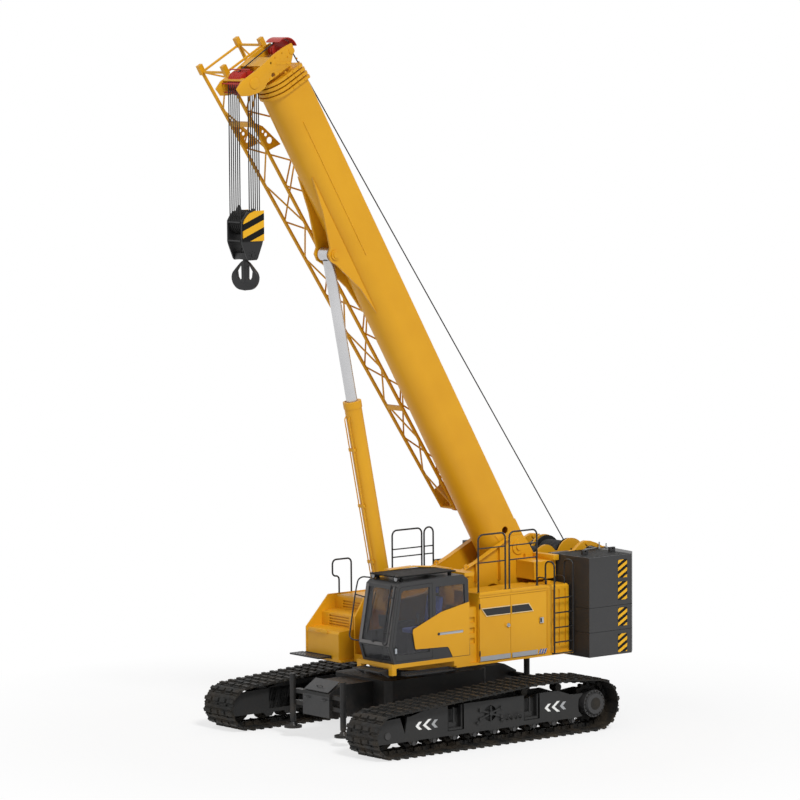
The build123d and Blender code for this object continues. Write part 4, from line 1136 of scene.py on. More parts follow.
def makeTensioner(outer):
    t = tensioner
    x, z = t["at"]
    inside = outer - t["floor"]
    low, high, sunk = t["fitting"]
    fitting = addRound("fitting", (x, inside, z), (x, outer - sunk, z), low, 24, high)
    parts = [insetFaces(fitting, (0, 1, 0), 0.02, -0.012)]
    arm, (knob, rise) = t["arm"], t["knob"]
    for angle, reach in t["arms"]:
        bar = addBlock("fittingArm", (x + arm["start"], outer + arm["low"], z - arm["half"]),
                       (x + reach, outer + arm["high"], z + arm["half"]))
        spin = Matrix.Translation((x, 0, z)) @ Matrix.Rotation(math.radians(-angle), 4, "Y")
        bar.data.transform(spin @ Matrix.Translation((-x, 0, -z)))
        parts.append(bar)
        if reach > t["knobFrom"]:
            end = spin @ Vector((reach, 0, 0))
            parts.append(addRound("armEnd", (end.x, outer, end.z), (end.x, outer + rise, end.z), knob, 12))
    radius, rise = t["hub"]
    return parts + [addRound("hub", (x, inside, z), (x, outer + rise, z), radius, 6)]


def makeSideFrames():
    s = sideFrame
    inner, outer, thick = s["inner"], s["outer"], s["plate"]
    x0, x1, z0, z1 = s["beam"]
    rear, front = s["ends"]
    beam = addBlock("beam", (x0, inner, z0), (x1, outer - 0.001, z1))
    outside = skirt(rear, front) + list(s["guard"]) + list(s["upper"]) + list(s["claw"])
    inside = skirt(x0, front) + list(s["guard"]) + list(s["upper"]) + list(s["carrier"])
    cover = addPlate("sidePlate", outside, outer - thick, outer)
    cutWith(cover, addPlate("seam", s["seam"], outer - thick - 0.01, outer + 0.01))
    half, depth, floor, top = s["pocket"]
    tx, tz = tensioner["at"]
    radius, sunk = tensioner["opening"]
    for target in (cover, beam):
        for x in (-s["beamX"], s["beamX"]):
            low, high = (x - half, outer - depth, floor), (x + half, outer + 0.01, top)
            cutWith(target, addBlock("pocket", low, high))
        cutWith(target, addRound("opening", (tx, outer - sunk, tz), (tx, outer + 0.01, tz), radius, 32))
    parts = [softenEdges(cover, 0.005, 1), beam, addPlate("innerPlate", inside, inner, inner + thick)]
    size, z, start = s["slide"]
    for x in (-s["beamX"], s["beamX"]):
        # stops and the lock of the cross beam in its pocket
        for box in s["stops"]:
            parts.append(softenEdges(addBlock("stop", *moved(box, x, outer)), 0.006, 1))
        parts.append(addBlock("slideBeam", (x - size, start, z - size), (x + size, inner, z + size)))
    parts += makeTensioner(outer)
    for x in s["lugs"]:
        parts.append(softenEdges(addBlock("lug", *moved(s["lug"], x, outer)), 0.008, 1))
    for x in s["hoops"]:
        parts.append(addTube("eyeHoop", moved(s["hoop"], x, outer), 0.012, 0.03, 3, 3))
    left = joinPieces(parts, "sideFrame_left")
    right = mirrored(left)
    for piece, side in ((left, "left"), (right, "right")):
        finishPiece(piece, "sideFrameBlack", "crawler_" + side, name="sideFrame_" + side)
        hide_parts("track_frame_" + side)


makeSideFrames()
print("side frames made")


# boom head in boom coordinates: cheeks, bulkhead, front strips and the axles' bosses

head = {
    "cheek": ((10.778, 0.04), (10.81, 0.075), (10.951, 0.215), (11.06, 0.27), (11.121, 0.261),
              (11.145, 0.067), (11.149, -0.185), (11.106, -0.693), (11.104, -1.084), (11.04, -1.25),
              (10.876, -1.22), (10.79, -1.065), (10.726, -0.851), (10.723, -0.70), (10.778, -0.59)),
    "half": 0.33,
    "plate": 0.03,
    "start": 10.778,
    "pin": (10.83, -0.395, 0.045),
    "pinY": (0.28, 0.35),
    "front": (11.13, -0.26, 0.04),
    "strips": ((-0.26, -0.56), (-0.96, -1.04)),
    "stripThick": 0.022,
    "nose": (10.93, -0.85),
    "noseBoss": (0.11, 0.10, 0.02),
    "noseAxle": 0.06,
    "topSheave": (11.0, 0.19),
    "topCap": (0.07, 0.062, 0.014),
    "topAxle": 0.05,
    "lug": (0.02, 0.11, -0.385, -0.29),
    "rib": ((10.80, 0.03), (10.84, 0.07), (11.00, -0.22), (10.97, -0.26)),
    "ribRise": 0.007,
    "bulkhead": (0.015, -0.60, 0.09),
    "crossPlate": (0.04, 10.96, -0.13, -0.08),
    "tieRod": (11.05, -0.33, 0.025),
    "guard": (0.228, 0.245, -20, 98, 0.20),
    "guardSteps": 14,
    "guardBars": (-100, -62, 12),
    "guardBar": (0.262, 0.012),
    "bolts": ((10.86, -0.02), (10.95, 0.06), (11.08, -0.02), (11.09, -0.20), (10.80, -0.50), (10.80, -0.25)),
    "bolt": (0.014, 0.014),
}


def makeCheekSide(sign):
    # one side plate of the head with its bosses, lug and rib
    h = head
    half, gap = h["half"], h["half"] - h["plate"]
    u, v, radius = h["pin"]
    cheek = addPlate("cheek", h["cheek"], sign * gap, sign * half)
    y0, y1 = h["pinY"]
    cutWith(cheek, addRound("pin", (u, sign * y0, v), (u, sign * y1, v), radius, 24))
    parts = [softenEdges(cheek, 0.006, 2)]
    nu, nv = h["nose"]
    low, high, rise = h["noseBoss"]
    boss = addRound("boss", (nu, sign * (half - 0.001), nv), (nu, sign * (half + rise), nv), low, 32, high)
    parts.append(insetFaces(boss, (0, sign, 0), 0.03, 0.006))
    tu, tv = h["topSheave"]
    low, high, rise = h["topCap"]
    cap = addRound("cap", (tu, sign * (half - 0.001), tv), (tu, sign * (half + rise), tv), low, 24, high)
    parts.append(insetFaces(cap, (0, sign, 0), 0.02, 0.004))
    u0, u1, v0, v1 = h["lug"]
    y0, y1 = sorted((sign * (gap + 0.005), sign * (half - 0.005)))
    parts.append(addBlock("lug", (nu + u0, y0, nv + v0), (nu + u1, y1, nv + v1)))
    parts.append(addPlate("rib", h["rib"], sign * (half - 0.001), sign * (half + h["ribRise"])))
    return parts


def makeBoomHead():
    h = head
    half, gap, start = h["half"], h["half"] - h["plate"], h["start"]
    parts = makeCheekSide(1) + makeCheekSide(-1)
    thick, low, high = h["bulkhead"]
    parts.append(addBlock("bulkhead", (start, -gap, low), (start + thick, gap, high)))
    ahead, end, low, high = h["crossPlate"]
    parts.append(addBlock("crossPlate", (start + ahead, -gap, low), (end, gap, high)))
    front, frontV, slope = h["front"]
    thick = h["stripThick"]
    for v0, v1 in h["strips"]:
        u0, u1 = front + (v0 - frontV) * slope, front + (v1 - frontV) * slope
        strip = addPlate("strip", ((u0 - thick, v0), (u0, v0), (u1, v1), (u1 - thick, v1)), -gap, gap)
        parts.append(softenEdges(strip, 0.004, 1))
    for (u, v), radius in ((h["nose"], h["noseAxle"]), (h["topSheave"], h["topAxle"])):
        parts.append(addRound("axle", (u, -half, v), (u, half, v), radius, 24))
    u, v, radius = h["tieRod"]
    parts.append(addRound("tieRod", (u, -half, v), (u, half, v), radius, 16))
    piece = toBoom(joinPieces(parts, "boomHead"))
    finishPiece(piece, "machineYellow", "section_5")
    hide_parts("boom_head")


def makeRopeGuards():
    # red guard over the top sheave and red bars before the nose
    h = head
    gap = h["half"] - h["plate"]
    u, v = h["topSheave"]
    low, high, startAngle, endAngle, wide = h["guard"]
    steps = h["guardSteps"]
    angles = [math.radians(startAngle + (endAngle - startAngle) * i / steps) for i in range(steps + 1)]
    arc = [(u + high * math.cos(a), v + high * math.sin(a)) for a in angles]
    arc += [(u + low * math.cos(a), v + low * math.sin(a)) for a in reversed(angles)]
    guard = [addPlate("guard", arc, -wide, wide)]
    u, v = h["nose"]
    away, radius = h["guardBar"]
    for angle in h["guardBars"]:
        a = math.radians(angle)
        x, z = u + away * math.cos(a), v + away * math.sin(a)
        guard.append(addRound("guardBar", (x, -gap, z), (x, gap, z), radius, 12))
    finishPiece(toBoom(joinPieces(guard, "ropeGuards")), "sheaveRed", "section_5")


def makeHeadBolts():
    for sign, side in ((1, "left"), (-1, "right")):
        spots = [(u, sign * head["half"], v) for u, v in head["bolts"]]
        bolts = boltRow("headBolts", spots, (0, sign, 0), *head["bolt"], "machineYellow", "section_5")
        toBoom(bolts).name = "headBolts_" + side


makeBoomHead()
makeRopeGuards()
makeHeadBolts()
print("boom head made")


# hook block with striped weight plates, and the double hook

block = {
    "x": 3.851,
    "z": 9.84,
    "inside": 0.195,
    "outside": 0.23,
    "weightOut": 0.248,
    "cheek": ((0.095, -0.69), (0.122, -0.662), (0.225, -0.41), (0.245, -0.345), (0.245, 0.033), (0.19, 0.12),
              (0.116, 0.205)),
    "weight": ((-0.255, -0.34), (0.225, -0.34), (0.225, -0.045), (0.20, 0.045), (0.15, 0.105), (0.10, 0.155),
               (0.035, 0.19), (-0.03, 0.215), (-0.255, 0.22)),
    "ears": ((1, 0.26), (-1, 0.31)),
    "earFoot": ((-0.09, 0.17), (0.04, 0.17)),
    "earTop": (-0.005, -0.055),
    "nut": (-0.60, 0.242, 0.035),
    "bars": {"x": (-0.247, 0.247), "z": (-0.34, 0.0), "half": 0.01, "high": 0.025},
    "axle": (0.247, 0.055),
    "crosshead": (0.11, 9.16, 9.29),
    "bolts": {"up": -0.60, "radius": 0.075, "count": 8, "head": (0.010, 0.010)},
}

hookShape = {
    "bottom": 8.585,
    "half": ((0.0, 0.0), (0.130, 0.015), (0.190, 0.038), (0.232, 0.070), (0.268, 0.108), (0.292, 0.150),
             (0.308, 0.20), (0.312, 0.250), (0.30, 0.30), (0.278, 0.340), (0.20, 0.42), (0.106, 0.510),
             (0.048, 0.55)),
    "eye": ((0.074, 0.455), (0.070, 0.225), (0.098, 0.198), (0.140, 0.200), (0.176, 0.250), (0.192, 0.36),
            (0.12, 0.462)),
    "thick": 0.036,
    "turn": math.radians(103.6),
    "shank": (0.15, 0.048, 9.36),
    "nut": (9.29, 0.085),
}


def makeHookBlock():
    b = block
    x, z, half = b["x"], b["z"], b["inside"]
    right = [(x + a, z + c) for a, c in b["cheek"]]
    left = [(x - a, z + c) for a, c in reversed(b["cheek"])]
    weight = [(x + a, z + c) for a, c in b["weight"]]
    foot, top = b["earFoot"], b["earTop"]
    nutUp, nutFace, nutRadius = b["nut"]
    parts, plates = [], []
    for sign, ear in b["ears"]:
        inside, outside = sign * half, sign * b["outside"]
        parts.append(softenEdges(addPlate("cheek", right + left, inside, outside), 0.005, 1))
        tab = [(x + a, z + c) for a, c in foot] + [(x + a, z + ear) for a in top]
        parts.append(softenEdges(addPlate("ear", tab, inside, outside), 0.005, 1))
        plates.append(addPlate("weight", weight, outside, sign * b["weightOut"]))
        parts.append(addRound("nut", (x, outside, z + nutUp), (x, sign * nutFace, z + nutUp), nutRadius, 6))
    bars = b["bars"]
    for across in bars["x"]:
        for up in bars["z"]:
            low = (x + across - bars["half"], -half, z + up)
            high = (x + across + bars["half"], half, z + up + bars["high"])
            parts.append(addBlock("bar", low, high))
    reach, radius = b["axle"]
    parts.append(addRound("axle", (x, -reach, z), (x, reach, z), radius, 24))
    reach, low, high = b["crosshead"]
    crosshead = addBlock("crosshead", (x - reach, -half, low), (x + reach, half, high))
    parts.append(softenEdges(crosshead, 0.02, 2))
    piece = finishPiece(joinPieces(parts, "hookBlock"), "trimBlack", "block")
    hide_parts("hook_block")
    finishPiece(joinPieces(plates, "blockWeights"), "hazardBlock", "block")
    bolts = b["bolts"]
    for sign, side in ((1, "left"), (-1, "right")):
        spots = circlePlaces((x, z + bolts["up"]), sign * b["outside"], bolts["radius"], bolts["count"])
        boltRow("blockBolts_" + side, spots, (0, sign, 0), *bolts["head"], "trimBlack", "block")


def makeHook():
    k = hookShape
    bottom = k["bottom"]
    half = [(a, bottom + c) for a, c in k["half"]]
    outline = half + [(-a, c) for a, c in reversed(half[1:])]
    arms = addPlate("hookArms", outline, -k["thick"], k["thick"])
    for sign in (1, -1):
        cutWith(arms, addPlate("eye", [(sign * a, bottom + c) for a, c in k["eye"]], -0.1, 0.1))
    softenEdges(arms, 0.02, 3, 25)
    foot, radius, top = k["shank"]
    shank = addRound("shank", (0, 0, bottom + foot), (0, 0, top), radius, 32)
    low, radius = k["nut"]
    nut = addRound("nut", (0, 0, low), (0, 0, top), radius, 6)
    piece = joinPieces([arms, shank, softenEdges(nut, 0.006, 1)], "doubleHook")
    piece.data.transform(Matrix.Translation((block["x"], 0, 0)) @ Matrix.Rotation(k["turn"], 4, "Z"))
    finishPiece(piece, "trimBlack", "load_hook", 40)
    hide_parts("hook")


makeHookBlock()
makeHook()
print("hook block and hook made")


# guard rails and ladder: bent round tube in place of the flat-sided one

railing = {
    "radius": 0.017,
    "thin": 0.013,
    "bend": 0.11,
    "height": 1.09,
    "hoops": (
        (-0.48, -1.15, 1.455, 2.725, (0.51, 0.76)),
        (-1.25, -1.94, 1.455, 2.725, (0.51, 0.76)),
        (-0.76, -1.5, -1.485, 2.52, (0.23, 0.52, 0.66)),
        (-1.56, -1.79, -1.485, 2.52, (0.23, 0.52, 0.66)),
    ),
    "frontHoop": ((0.56, -1.485, 2.52), (0.56, -1.485, 2.85), (0.72, -1.485, 2.85), (0.72, -1.485, 3.17),
                  (0.26, -1.485, 3.17), (0.26, -1.485, 2.52)),
    "frontBend": 0.09,
    "footPlate": (0.035, 0.015, 0.008),
}

ladder = {
    "x": (-2.29, -2.76),
    "y": 1.56,
    "foot": 1.352,
    "top": 3.15,
    "back": 1.30,
    "landing": 2.69,
    "rungs": [1.6 + 0.285 * i for i in range(4)],
    "lowRung": 1.382,
    "wall": 1.5,
    "sideRadius": 0.017,
    "rungRadius": 0.014,
    "lowRungRadius": 0.013,
    "bend": 0.10,
}

# each step is a tray from one corner to the other, its numbers of studs, and the plate that it hangs on
steps = {
    "sideStep": {"tray": ((0.33, 1.502, 1.34), (1.45, 1.69, 1.372)), "studs": (16, 3),
                 "back": ((0.33, 1.5003, 1.34), (1.45, 1.512, 1.40))},
    "frontStep": {"tray": ((1.6403, 0.57, 1.41), (1.88, 1.389, 1.442)), "studs": (3, 11),
                  "back": ((1.6403, 0.63, 1.42), (1.652, 1.389, 1.455))},
    "hoodStep": {"tray": ((1.3753, -1.6, 1.42), (1.69, -0.7, 1.452)), "studs": (4, 11),
                 "back": ((1.3753, -1.5, 1.40), (1.39, -0.7, 1.462))},
}

stepTrim = {
    "web": ((1.6403, 1.30), (1.66, 1.30), (1.84, 1.41), (1.6403, 1.41)),
    "webY": (0.63, 1.37),
    "webThick": 0.012,
    "stud": (0.006, 0.011, 0.007),
}

grabs = {"x": (-2.24, -2.70), "y": (1.38, 1.12), "z": (2.69, 2.83), "radius": 0.014, "bend": 0.07}


def makeRails():
    r = railing
    parts = []
    reach, wide, thick = r["footPlate"]
    for x0, x1, y, z, shares in r["hoops"]:
        top = z + r["height"]
        hoop = ((x0, y, z), (x0, y, top), (x1, y, top), (x1, y, z))
        parts.append(addTube("hoop", hoop, r["radius"], r["bend"], 4))
        for share in shares:
            level = z + r["height"] * share
            parts.append(addTube("midRail", ((x0, y, level), (x1, y, level)), r["thin"], sides=4))
        for x in (x0, x1):
            foot = addBlock("foot", (x - reach, y - wide, z), (x + reach, y + wide, z + thick))
            parts.append(softenEdges(foot, 0.003, 1))
    parts.append(addTube("frontHoop", r["frontHoop"], r["radius"], r["frontBend"], 4))
    rails = finishPiece(joinPieces(parts, "guardRails"), "trimBlack", "upperstructure", 50)
    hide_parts("handrails")


def makeStep(name):
    # a folded tray with studs on its tread
    spec = steps[name]
    (low, high), (nx, ny) = spec["tray"], spec["studs"]
    tray = addBlock(name, low, high)
    insetFaces(tray, (0, 0, 1), 0.012, -0.006)
    softenEdges(tray, 0.003, 1)
    height, radius, top = stepTrim["stud"]
    source = addRound("stud", (0, 0, 0), (0, 0, height), radius, 8, top)
    copies = []
    for i in range(nx):
        for j in range(ny):
            x = low[0] + (high[0] - low[0]) * (i + 0.5) / nx
            y = low[1] + (high[1] - low[1]) * (j + 0.5) / ny
            copies.append(copyPiece(source, Matrix.Translation((x, y, high[2] - height))))
    bpy.data.objects.remove(source, do_unlink=True)
    return [joinPieces([tray] + copies, name), addBlock(name + "Back", *spec["back"])]


def makeLadderAndSteps():
    d = ladder
    y, wall, foot = d["y"], d["wall"], d["foot"] + 0.03
    first, last = d["x"]
    parts = []
    for x in d["x"]:
        corners = ((wall, foot), (y, foot), (y, d["top"]), (d["back"], d["top"]), (d["back"], d["landing"]))
        path = [(x, a, b) for a, b in corners]
        parts.append(addTube("ladderSide", path, d["sideRadius"], d["bend"], 4))
    for z in d["rungs"]:
        parts.append(addTube("rung", ((first, y, z), (last, y, z)), d["rungRadius"], sides=4))
    z = d["lowRung"]
    parts.append(addTube("lowRung", ((first, y, z), (last, y, z)), d["lowRungRadius"], sides=4))
    parts += makeStep("sideStep") + makeStep("frontStep")
    for y0 in stepTrim["webY"]:
        parts.append(addPlate("stepWeb", stepTrim["web"], y0, y0 + stepTrim["webThick"]))
    parts += makeStep("hoodStep")
    piece = finishPiece(joinPieces(parts, "ladderAndSteps"), "trimBlack", "upperstructure", 40)
    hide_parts("access_steps")


def makeTankGrabs():
    # two hoops to hold on the tank's top
    outer, inner = grabs["y"]
    low, high = grabs["z"]
    hoops = []
    for x in grabs["x"]:
        path = ((x, outer, low), (x, outer, high), (x, inner, high), (x, inner, low))
        hoops.append(addTube("grab", path, grabs["radius"], grabs["bend"], 4))
    finishPiece(joinPieces(hoops, "tankGrabs"), "trimBlack", "upperstructure", 50)


makeRails()
makeLadderAndSteps()
makeTankGrabs()
print("rails, ladder and steps made")


# cab trim: hand bars, mirror bar, wiper, lamps, pillar plates and the handle

cab = {
    "frontLow": (1.72, 1.91),
    "frontHigh": (1.52, 3.01),
    "handBars": ((1.535, 1.33, 3.03), (1.76, 1.33, 1.93), (1.76, 1.46, 1.93), (1.535, 1.46, 3.03)),
    "handY": (1.33, 1.46),
    "handOut": 0.045,
    "handTies": (2.15, 2.80),
    "mirrorBar": ((1.44, 0.60, 3.10), (1.60, 0.44, 3.12), (1.66, 0.42, 2.85), (1.83, 0.42, 1.95),
                  (1.72, 0.59, 1.93)),
    "mirrorTie": ((1.655, 0.42, 2.78), (1.575, 0.60, 2.74)),
    "radii": {"hand": 0.015, "mirror": 0.014, "tie": 0.012},
    "lamps": ((1.46, 1.36, 3.15), (1.46, 0.68, 3.15)),
    "pillars": {"y": ((1.385, 1.485), (0.585, 0.66)), "z": (1.95, 3.0), "thick": 0.008},
    "sill": {"y": (0.60, 1.485), "z": (1.905, 1.965), "thick": 0.010},
    "handleFrame": ((1.535, 1.5, 1.735), (1.618, 1.508, 1.885)),
    "handleGrip": ((1.56, 1.503, 1.76), (1.604, 1.53, 1.86)),
}

# places on the windscreen as y and z, and how far each part stands off it
wiper = {
    "hub": (1.02, 1.965),
    "hubOut": 0.04,
    "hubRadius": 0.022,
    "tip": (0.86, 2.55),
    "armOut": (0.035, 0.03),
    "armRadius": 0.008,
    "blade": ((0.80, 2.06), (0.90, 2.86)),
    "bladeOut": 0.014,
    "bladeRadius": 0.009,
}

# lengths along the lamp's axis behind its front, and radii
lamp = {"body": (0.07, 0.045, 0.062), "post": (0.03, 0.09, 0.03, 0.012), "lens": (0.013, 0.006, 0.052)}


def onFront(y, z, out=0.0):
    # a point on the windscreen's plane, pushed out square to it
    (x0, z0), (x1, z1) = cab["frontLow"], cab["frontHigh"]
    rise = Vector((x1 - x0, 0, z1 - z0)).normalized()
    base = Vector((x0 + (x1 - x0) * (z - z0) / (z1 - z0), y, z))
    return base + Vector((rise.z, 0, -rise.x)) * out


def frontStrip(name, heights, sides, thick):
    z0, z1 = heights
    corners = [onFront(0, z0, 0.001), onFront(0, z1, 0.001), onFront(0, z1, thick), onFront(0, z0, thick)]
    return addPlate(name, [(p.x, p.z) for p in corners], *sides)


def makeCabBars():
    tie, out = cab["radii"]["tie"], cab["handOut"]
    near, far = cab["handY"]
    parts = [addTube("handBars", cab["handBars"], cab["radii"]["hand"], 0.07, 4)]
    for z in cab["handTies"]:
        parts.append(addTube("handTie", (onFront(near, z, out), onFront(far, z, out)), tie, sides=4))
        parts.append(addTube("handStay", (onFront(far, z, 0.0), onFront(far, z, out)), tie, sides=4))
    parts.append(addTube("mirrorBar", cab["mirrorBar"], cab["radii"]["mirror"], 0.12, 4))
    parts.append(addTube("mirrorTie", cab["mirrorTie"], tie, sides=4))
    w = wiper
    hubLow, hubHigh = onFront(*w["hub"], 0.0), onFront(*w["hub"], w["hubOut"])
    parts.append(addRound("wiperHub", hubLow, hubHigh, w["hubRadius"], 16))
    armStart, armEnd = onFront(*w["hub"], w["armOut"][0]), onFront(*w["tip"], w["armOut"][1])
    parts.append(addTube("wiperArm", (armStart, armEnd), w["armRadius"], sides=2))
    bladeEnds = [onFront(*place, w["bladeOut"]) for place in w["blade"]]
    parts.append(addTube("wiperBlade", bladeEnds, w["bladeRadius"], sides=2))
    finishPiece(joinPieces(parts, "cabBars"), "trimBlack", "upperstructure", 50)


def makePillarPlates():
    pillars, sill = cab["pillars"], cab["sill"]
    plates = [frontStrip("pillarPlate", pillars["z"], sides, pillars["thick"]) for sides in pillars["y"]]
    plates.append(frontStrip("sillPlate", sill["z"], sill["y"], sill["thick"]))
    finishPiece(joinPieces(plates, "pillarPlates"), "frameGrey", "upperstructure")


def makeCabLamps():
    shells, lenses = [], []
    depth, rear, front = lamp["body"]
    postX, postLow, postHigh, postRadius = lamp["post"]
    lensRear, lensFront, lensRadius = lamp["lens"]
    for x, y, z in cab["lamps"]:
        body = addRound("lamp", (x - depth, y, z), (x, y, z), rear, 24, front)
        shells.append(insetFaces(body, (1, 0, 0), 0.008, -0.012))
        foot, top = (x - postX, y, z - postLow), (x - postX, y, z - postHigh)
        shells.append(addRound("lampPost", foot, top, postRadius, 10))
        pane = addRound("lens", (x - lensRear, y, z), (x - lensFront, y, z), lensRadius, 24)
        lenses.append(insetFaces(pane, (1, 0, 0), 0.012, 0.003))
    finishPiece(joinPieces(shells, "cabLamps"), "trimBlack", "upperstructure")
    finishPiece(joinPieces(lenses, "lampLenses"), "lampLens", "upperstructure")


def makeCabHandle():
    rim = insetFaces(addBlock("handleFrame", *cab["handleFrame"]), (0, 1, 0), 0.014, -0.006)
    finishPiece(softenEdges(rim, 0.003, 1), "trimBlack", "upperstructure")
    grip = softenEdges(addBlock("handleGrip", *cab["handleGrip"]), 0.008)
    finishPiece(grip, "latchSteel", "upperstructure")


panelRail = {"slot": (-0.03, 0.52, 2.0375, 0.0235), "y": (1.506, 1.516), "endX": 0.545, "endY": 1.522,
             "endRadius": 0.027}


def stadium(x0, x1, z, half, steps=10):
    # a long outline with round ends
    points = []
    for centre, start in ((x1, -90), (x0, 90)):
        for step in range(steps + 1):
            a = math.radians(start + 180 * step / steps)
            points.append((centre + half * math.cos(a), z + half * math.sin(a)))
    return points


def makePanelRail():
    p = panelRail
    slot = addPlate("panelRail", stadium(*p["slot"]), *p["y"])
    insetFaces(slot, (0, 1, 0), 0.008, -0.004)
    finishPiece(slot, "latchSteel", "upperstructure")
    x, y, z = p["endX"], p["y"][0], p["slot"][2]
    end = addRound("panelRailEnd", (x, y, z), (x, p["endY"], z), p["endRadius"], 20)
    finishPiece(end, "trimBlack", "upperstructure")


makeCabBars()
makePillarPlates()
makeCabLamps()
makeCabHandle()
makePanelRail()
print("cab trim made")


# driver's seat: soft cushions on a sprung base

seat = {
    "cushion": ((0.385, 0.805, 2.015), (0.875, 1.265, 2.125)),
    "back": ((0.265, 0.825, 2.13), (0.365, 1.245, 2.69)),
    "head": ((0.235, 0.915, 2.755), (0.315, 1.155, 2.895)),
    "lean": math.radians(-8),
    "base": ((0.45, 0.89, 1.6103), (0.80, 1.18, 2.0)),
    "post": ((0.30, 1.035, 2.62), (0.275, 1.035, 2.80), 0.009),
    "crowns": {"cushion": 0.25, "back": 0.35, "head": 0.3},
    "fill": 0.7,
}

# how a cushion's block is shaped before it is smoothed
padding = {"cuts": 7, "edge": 0.22, "edgePower": 6, "waist": 0.02, "levels": 2}


def makeCushion(name, low, high, crown, lean=0.0):
    # a block with its sides pulled in and its top crowned, then smoothed
    pad = addBlock(name, low, high)
    useObject(pad)
    bpy.ops.object.mode_set(mode="EDIT")
    bpy.ops.mesh.select_all(action="SELECT")
    bpy.ops.mesh.subdivide(number_cuts=padding["cuts"])
    bpy.ops.object.mode_set(mode="OBJECT")
    middle = (Vector(low) + Vector(high)) / 2
    size = Vector(high) - Vector(low)
    thin = min(range(3), key=lambda i: size[i])
    for vertex in pad.data.vertices:
        offset = vertex.co - middle
        share = [2 * offset[i] / size[i] for i in range(3)]
        wide = [share[i] for i in range(3) if i != thin]
        bulge = (1 - wide[0] ** 2) * (1 - wide[1] ** 2)
        edge = 1 - padding["edge"] * max(abs(wide[0]), abs(wide[1])) ** padding["edgePower"]
        offset[thin] = offset[thin] * (edge - crown * 0.5 + crown * bulge)
        for i in range(3):
            if i != thin:
                offset[i] *= 1 - padding["waist"] * (1 - share[thin] ** 2) * (1 - share[i] ** 2)
        vertex.co = middle + offset
    if lean:
        foot = Matrix.Translation((middle.x, 0, low[2]))
        back = Matrix.Translation((-middle.x, 0, -low[2]))
        pad.data.transform(foot @ Matrix.Rotation(lean, 4, "Y") @ back)
    useObject(pad)
    soft = pad.modifiers.new("soft", "SUBSURF")
    soft.levels = padding["levels"]
    soft.render_levels = padding["levels"]
    bpy.ops.object.modifier_apply(modifier=soft.name)
    return pad


def makeSeat():
    crowns = seat["crowns"]
    cushion = makeCushion("seatCushion", *seat["cushion"], crowns["cushion"])
    back = makeCushion("seatBack", *seat["back"], crowns["back"], seat["lean"])
    rest = makeCushion("seatHead", *seat["head"], crowns["head"], seat["lean"])
    for pad in (cushion, back, rest):
        finishPiece(pad, "seatCloth", "upperstructure", 80)
    base = insetFaces(addBlock("seatBase", *seat["base"]), (1, 0, 0), 0.03, -0.01)
    foot, top, radius = seat["post"]
    post = addRound("headPost", foot, top, radius, 12)
    finishPiece(joinPieces([softenEdges(base, 0.012), post], "seatBase"), "plainPlastic", "upperstructure")
    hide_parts("operator_seat")


makeSeat()
print("seat made")


# hoist rope from the main winch over the boom to the head, and the rope wound on both drums

hoist = {
    "radius": 0.012,
    "start": (-0.899, 1.317),
    "end": (11.0, 0.395),
    "bend": 0.05,
    "joints": (("upperstructure", "boom", 2.0), ("boom", "section_2", 4.2), ("section_2", "section_3", 6.4),
               ("section_3", "section_4", 8.6), ("section_4", "section_5", 10.4)),
    "down": ((11.0, 0.395), (11.10, 0.37), (11.175, 0.30), (11.205, 0.19), (11.16, -0.85)),
}

winches = {
    "main": {"at": (-3.71, 3.06), "radius": 0.245, "body": "winch_main"},
    "aux": {"at": (-3.06, 3.04), "radius": 0.205, "body": "winch_aux"},
}

winding = {"half": 0.28, "turns": 22, "rope": 0.0125, "boltFace": 0.42, "bolts": 8, "bolt": (0.014, 0.012)}


def boomPoint(u, v):
    return boomPlace @ Vector((u, 0, v))


def makeHoistRope():
    u0, v0 = hoist["start"]
    u1, v1 = hoist["end"]
    slope = (v1 - v0) / (u1 - u0)
    start = (u0, v0)
    for index, (first, second, u) in enumerate(hoist["joints"]):
        end = (u, v0 + (u - u0) * slope)
        a, b = boomPoint(*start), boomPoint(*end)
        name = "hoistRope_%d" % index
        rope = finishPiece(addTube(name, (a, b), hoist["radius"]), "wireRope", None, name=name)
        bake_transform(rope)
        start = end
    points = [boomPoint(u, v) for u, v in (start, *hoist["down"])]
    rope = addTube("hoistRope_head", points, hoist["radius"], hoist["bend"])
    finishPiece(rope, "wireRope", "section_5", name="hoistRope_head")


def makeWindings():
    half, turns, face = winding["half"], winding["turns"], winding["boltFace"]
    step = 2 * half / (turns - 1)
    for name, spec in winches.items():
        x, z = spec["at"]
        radius, body = spec["radius"], spec["body"]
        clearSelection()
        bpy.ops.mesh.primitive_torus_add(location=(x, 0, z), rotation=(math.pi / 2, 0, 0), major_segments=36,
                                         minor_segments=6, major_radius=radius, minor_radius=winding["rope"])
        ring = bpy.context.object
        bpy.ops.object.transform_apply(location=True, rotation=True, scale=True)
        rings = [copyPiece(ring, Matrix.Translation((0, -half + step * i, 0))) for i in range(turns)]
        bpy.data.objects.remove(ring, do_unlink=True)
        finishPiece(joinPieces(rings, "windings_" + name), "wireRope", body)
        for sign, side in ((1, "left"), (-1, "right")):
            spots = circlePlaces((x, z), sign * face, radius * 0.5, winding["bolts"])
            bolts = "drumBolts_%s_%s" % (name, side)
            boltRow(bolts, spots, (0, sign, 0), *winding["bolt"], "trimBlack", body)


makeHoistRope()
makeWindings()
print("hoist rope and windings made")


# undercarriage centre: box faces and the front lid, jack sleeve ends and the swing ring's bolts

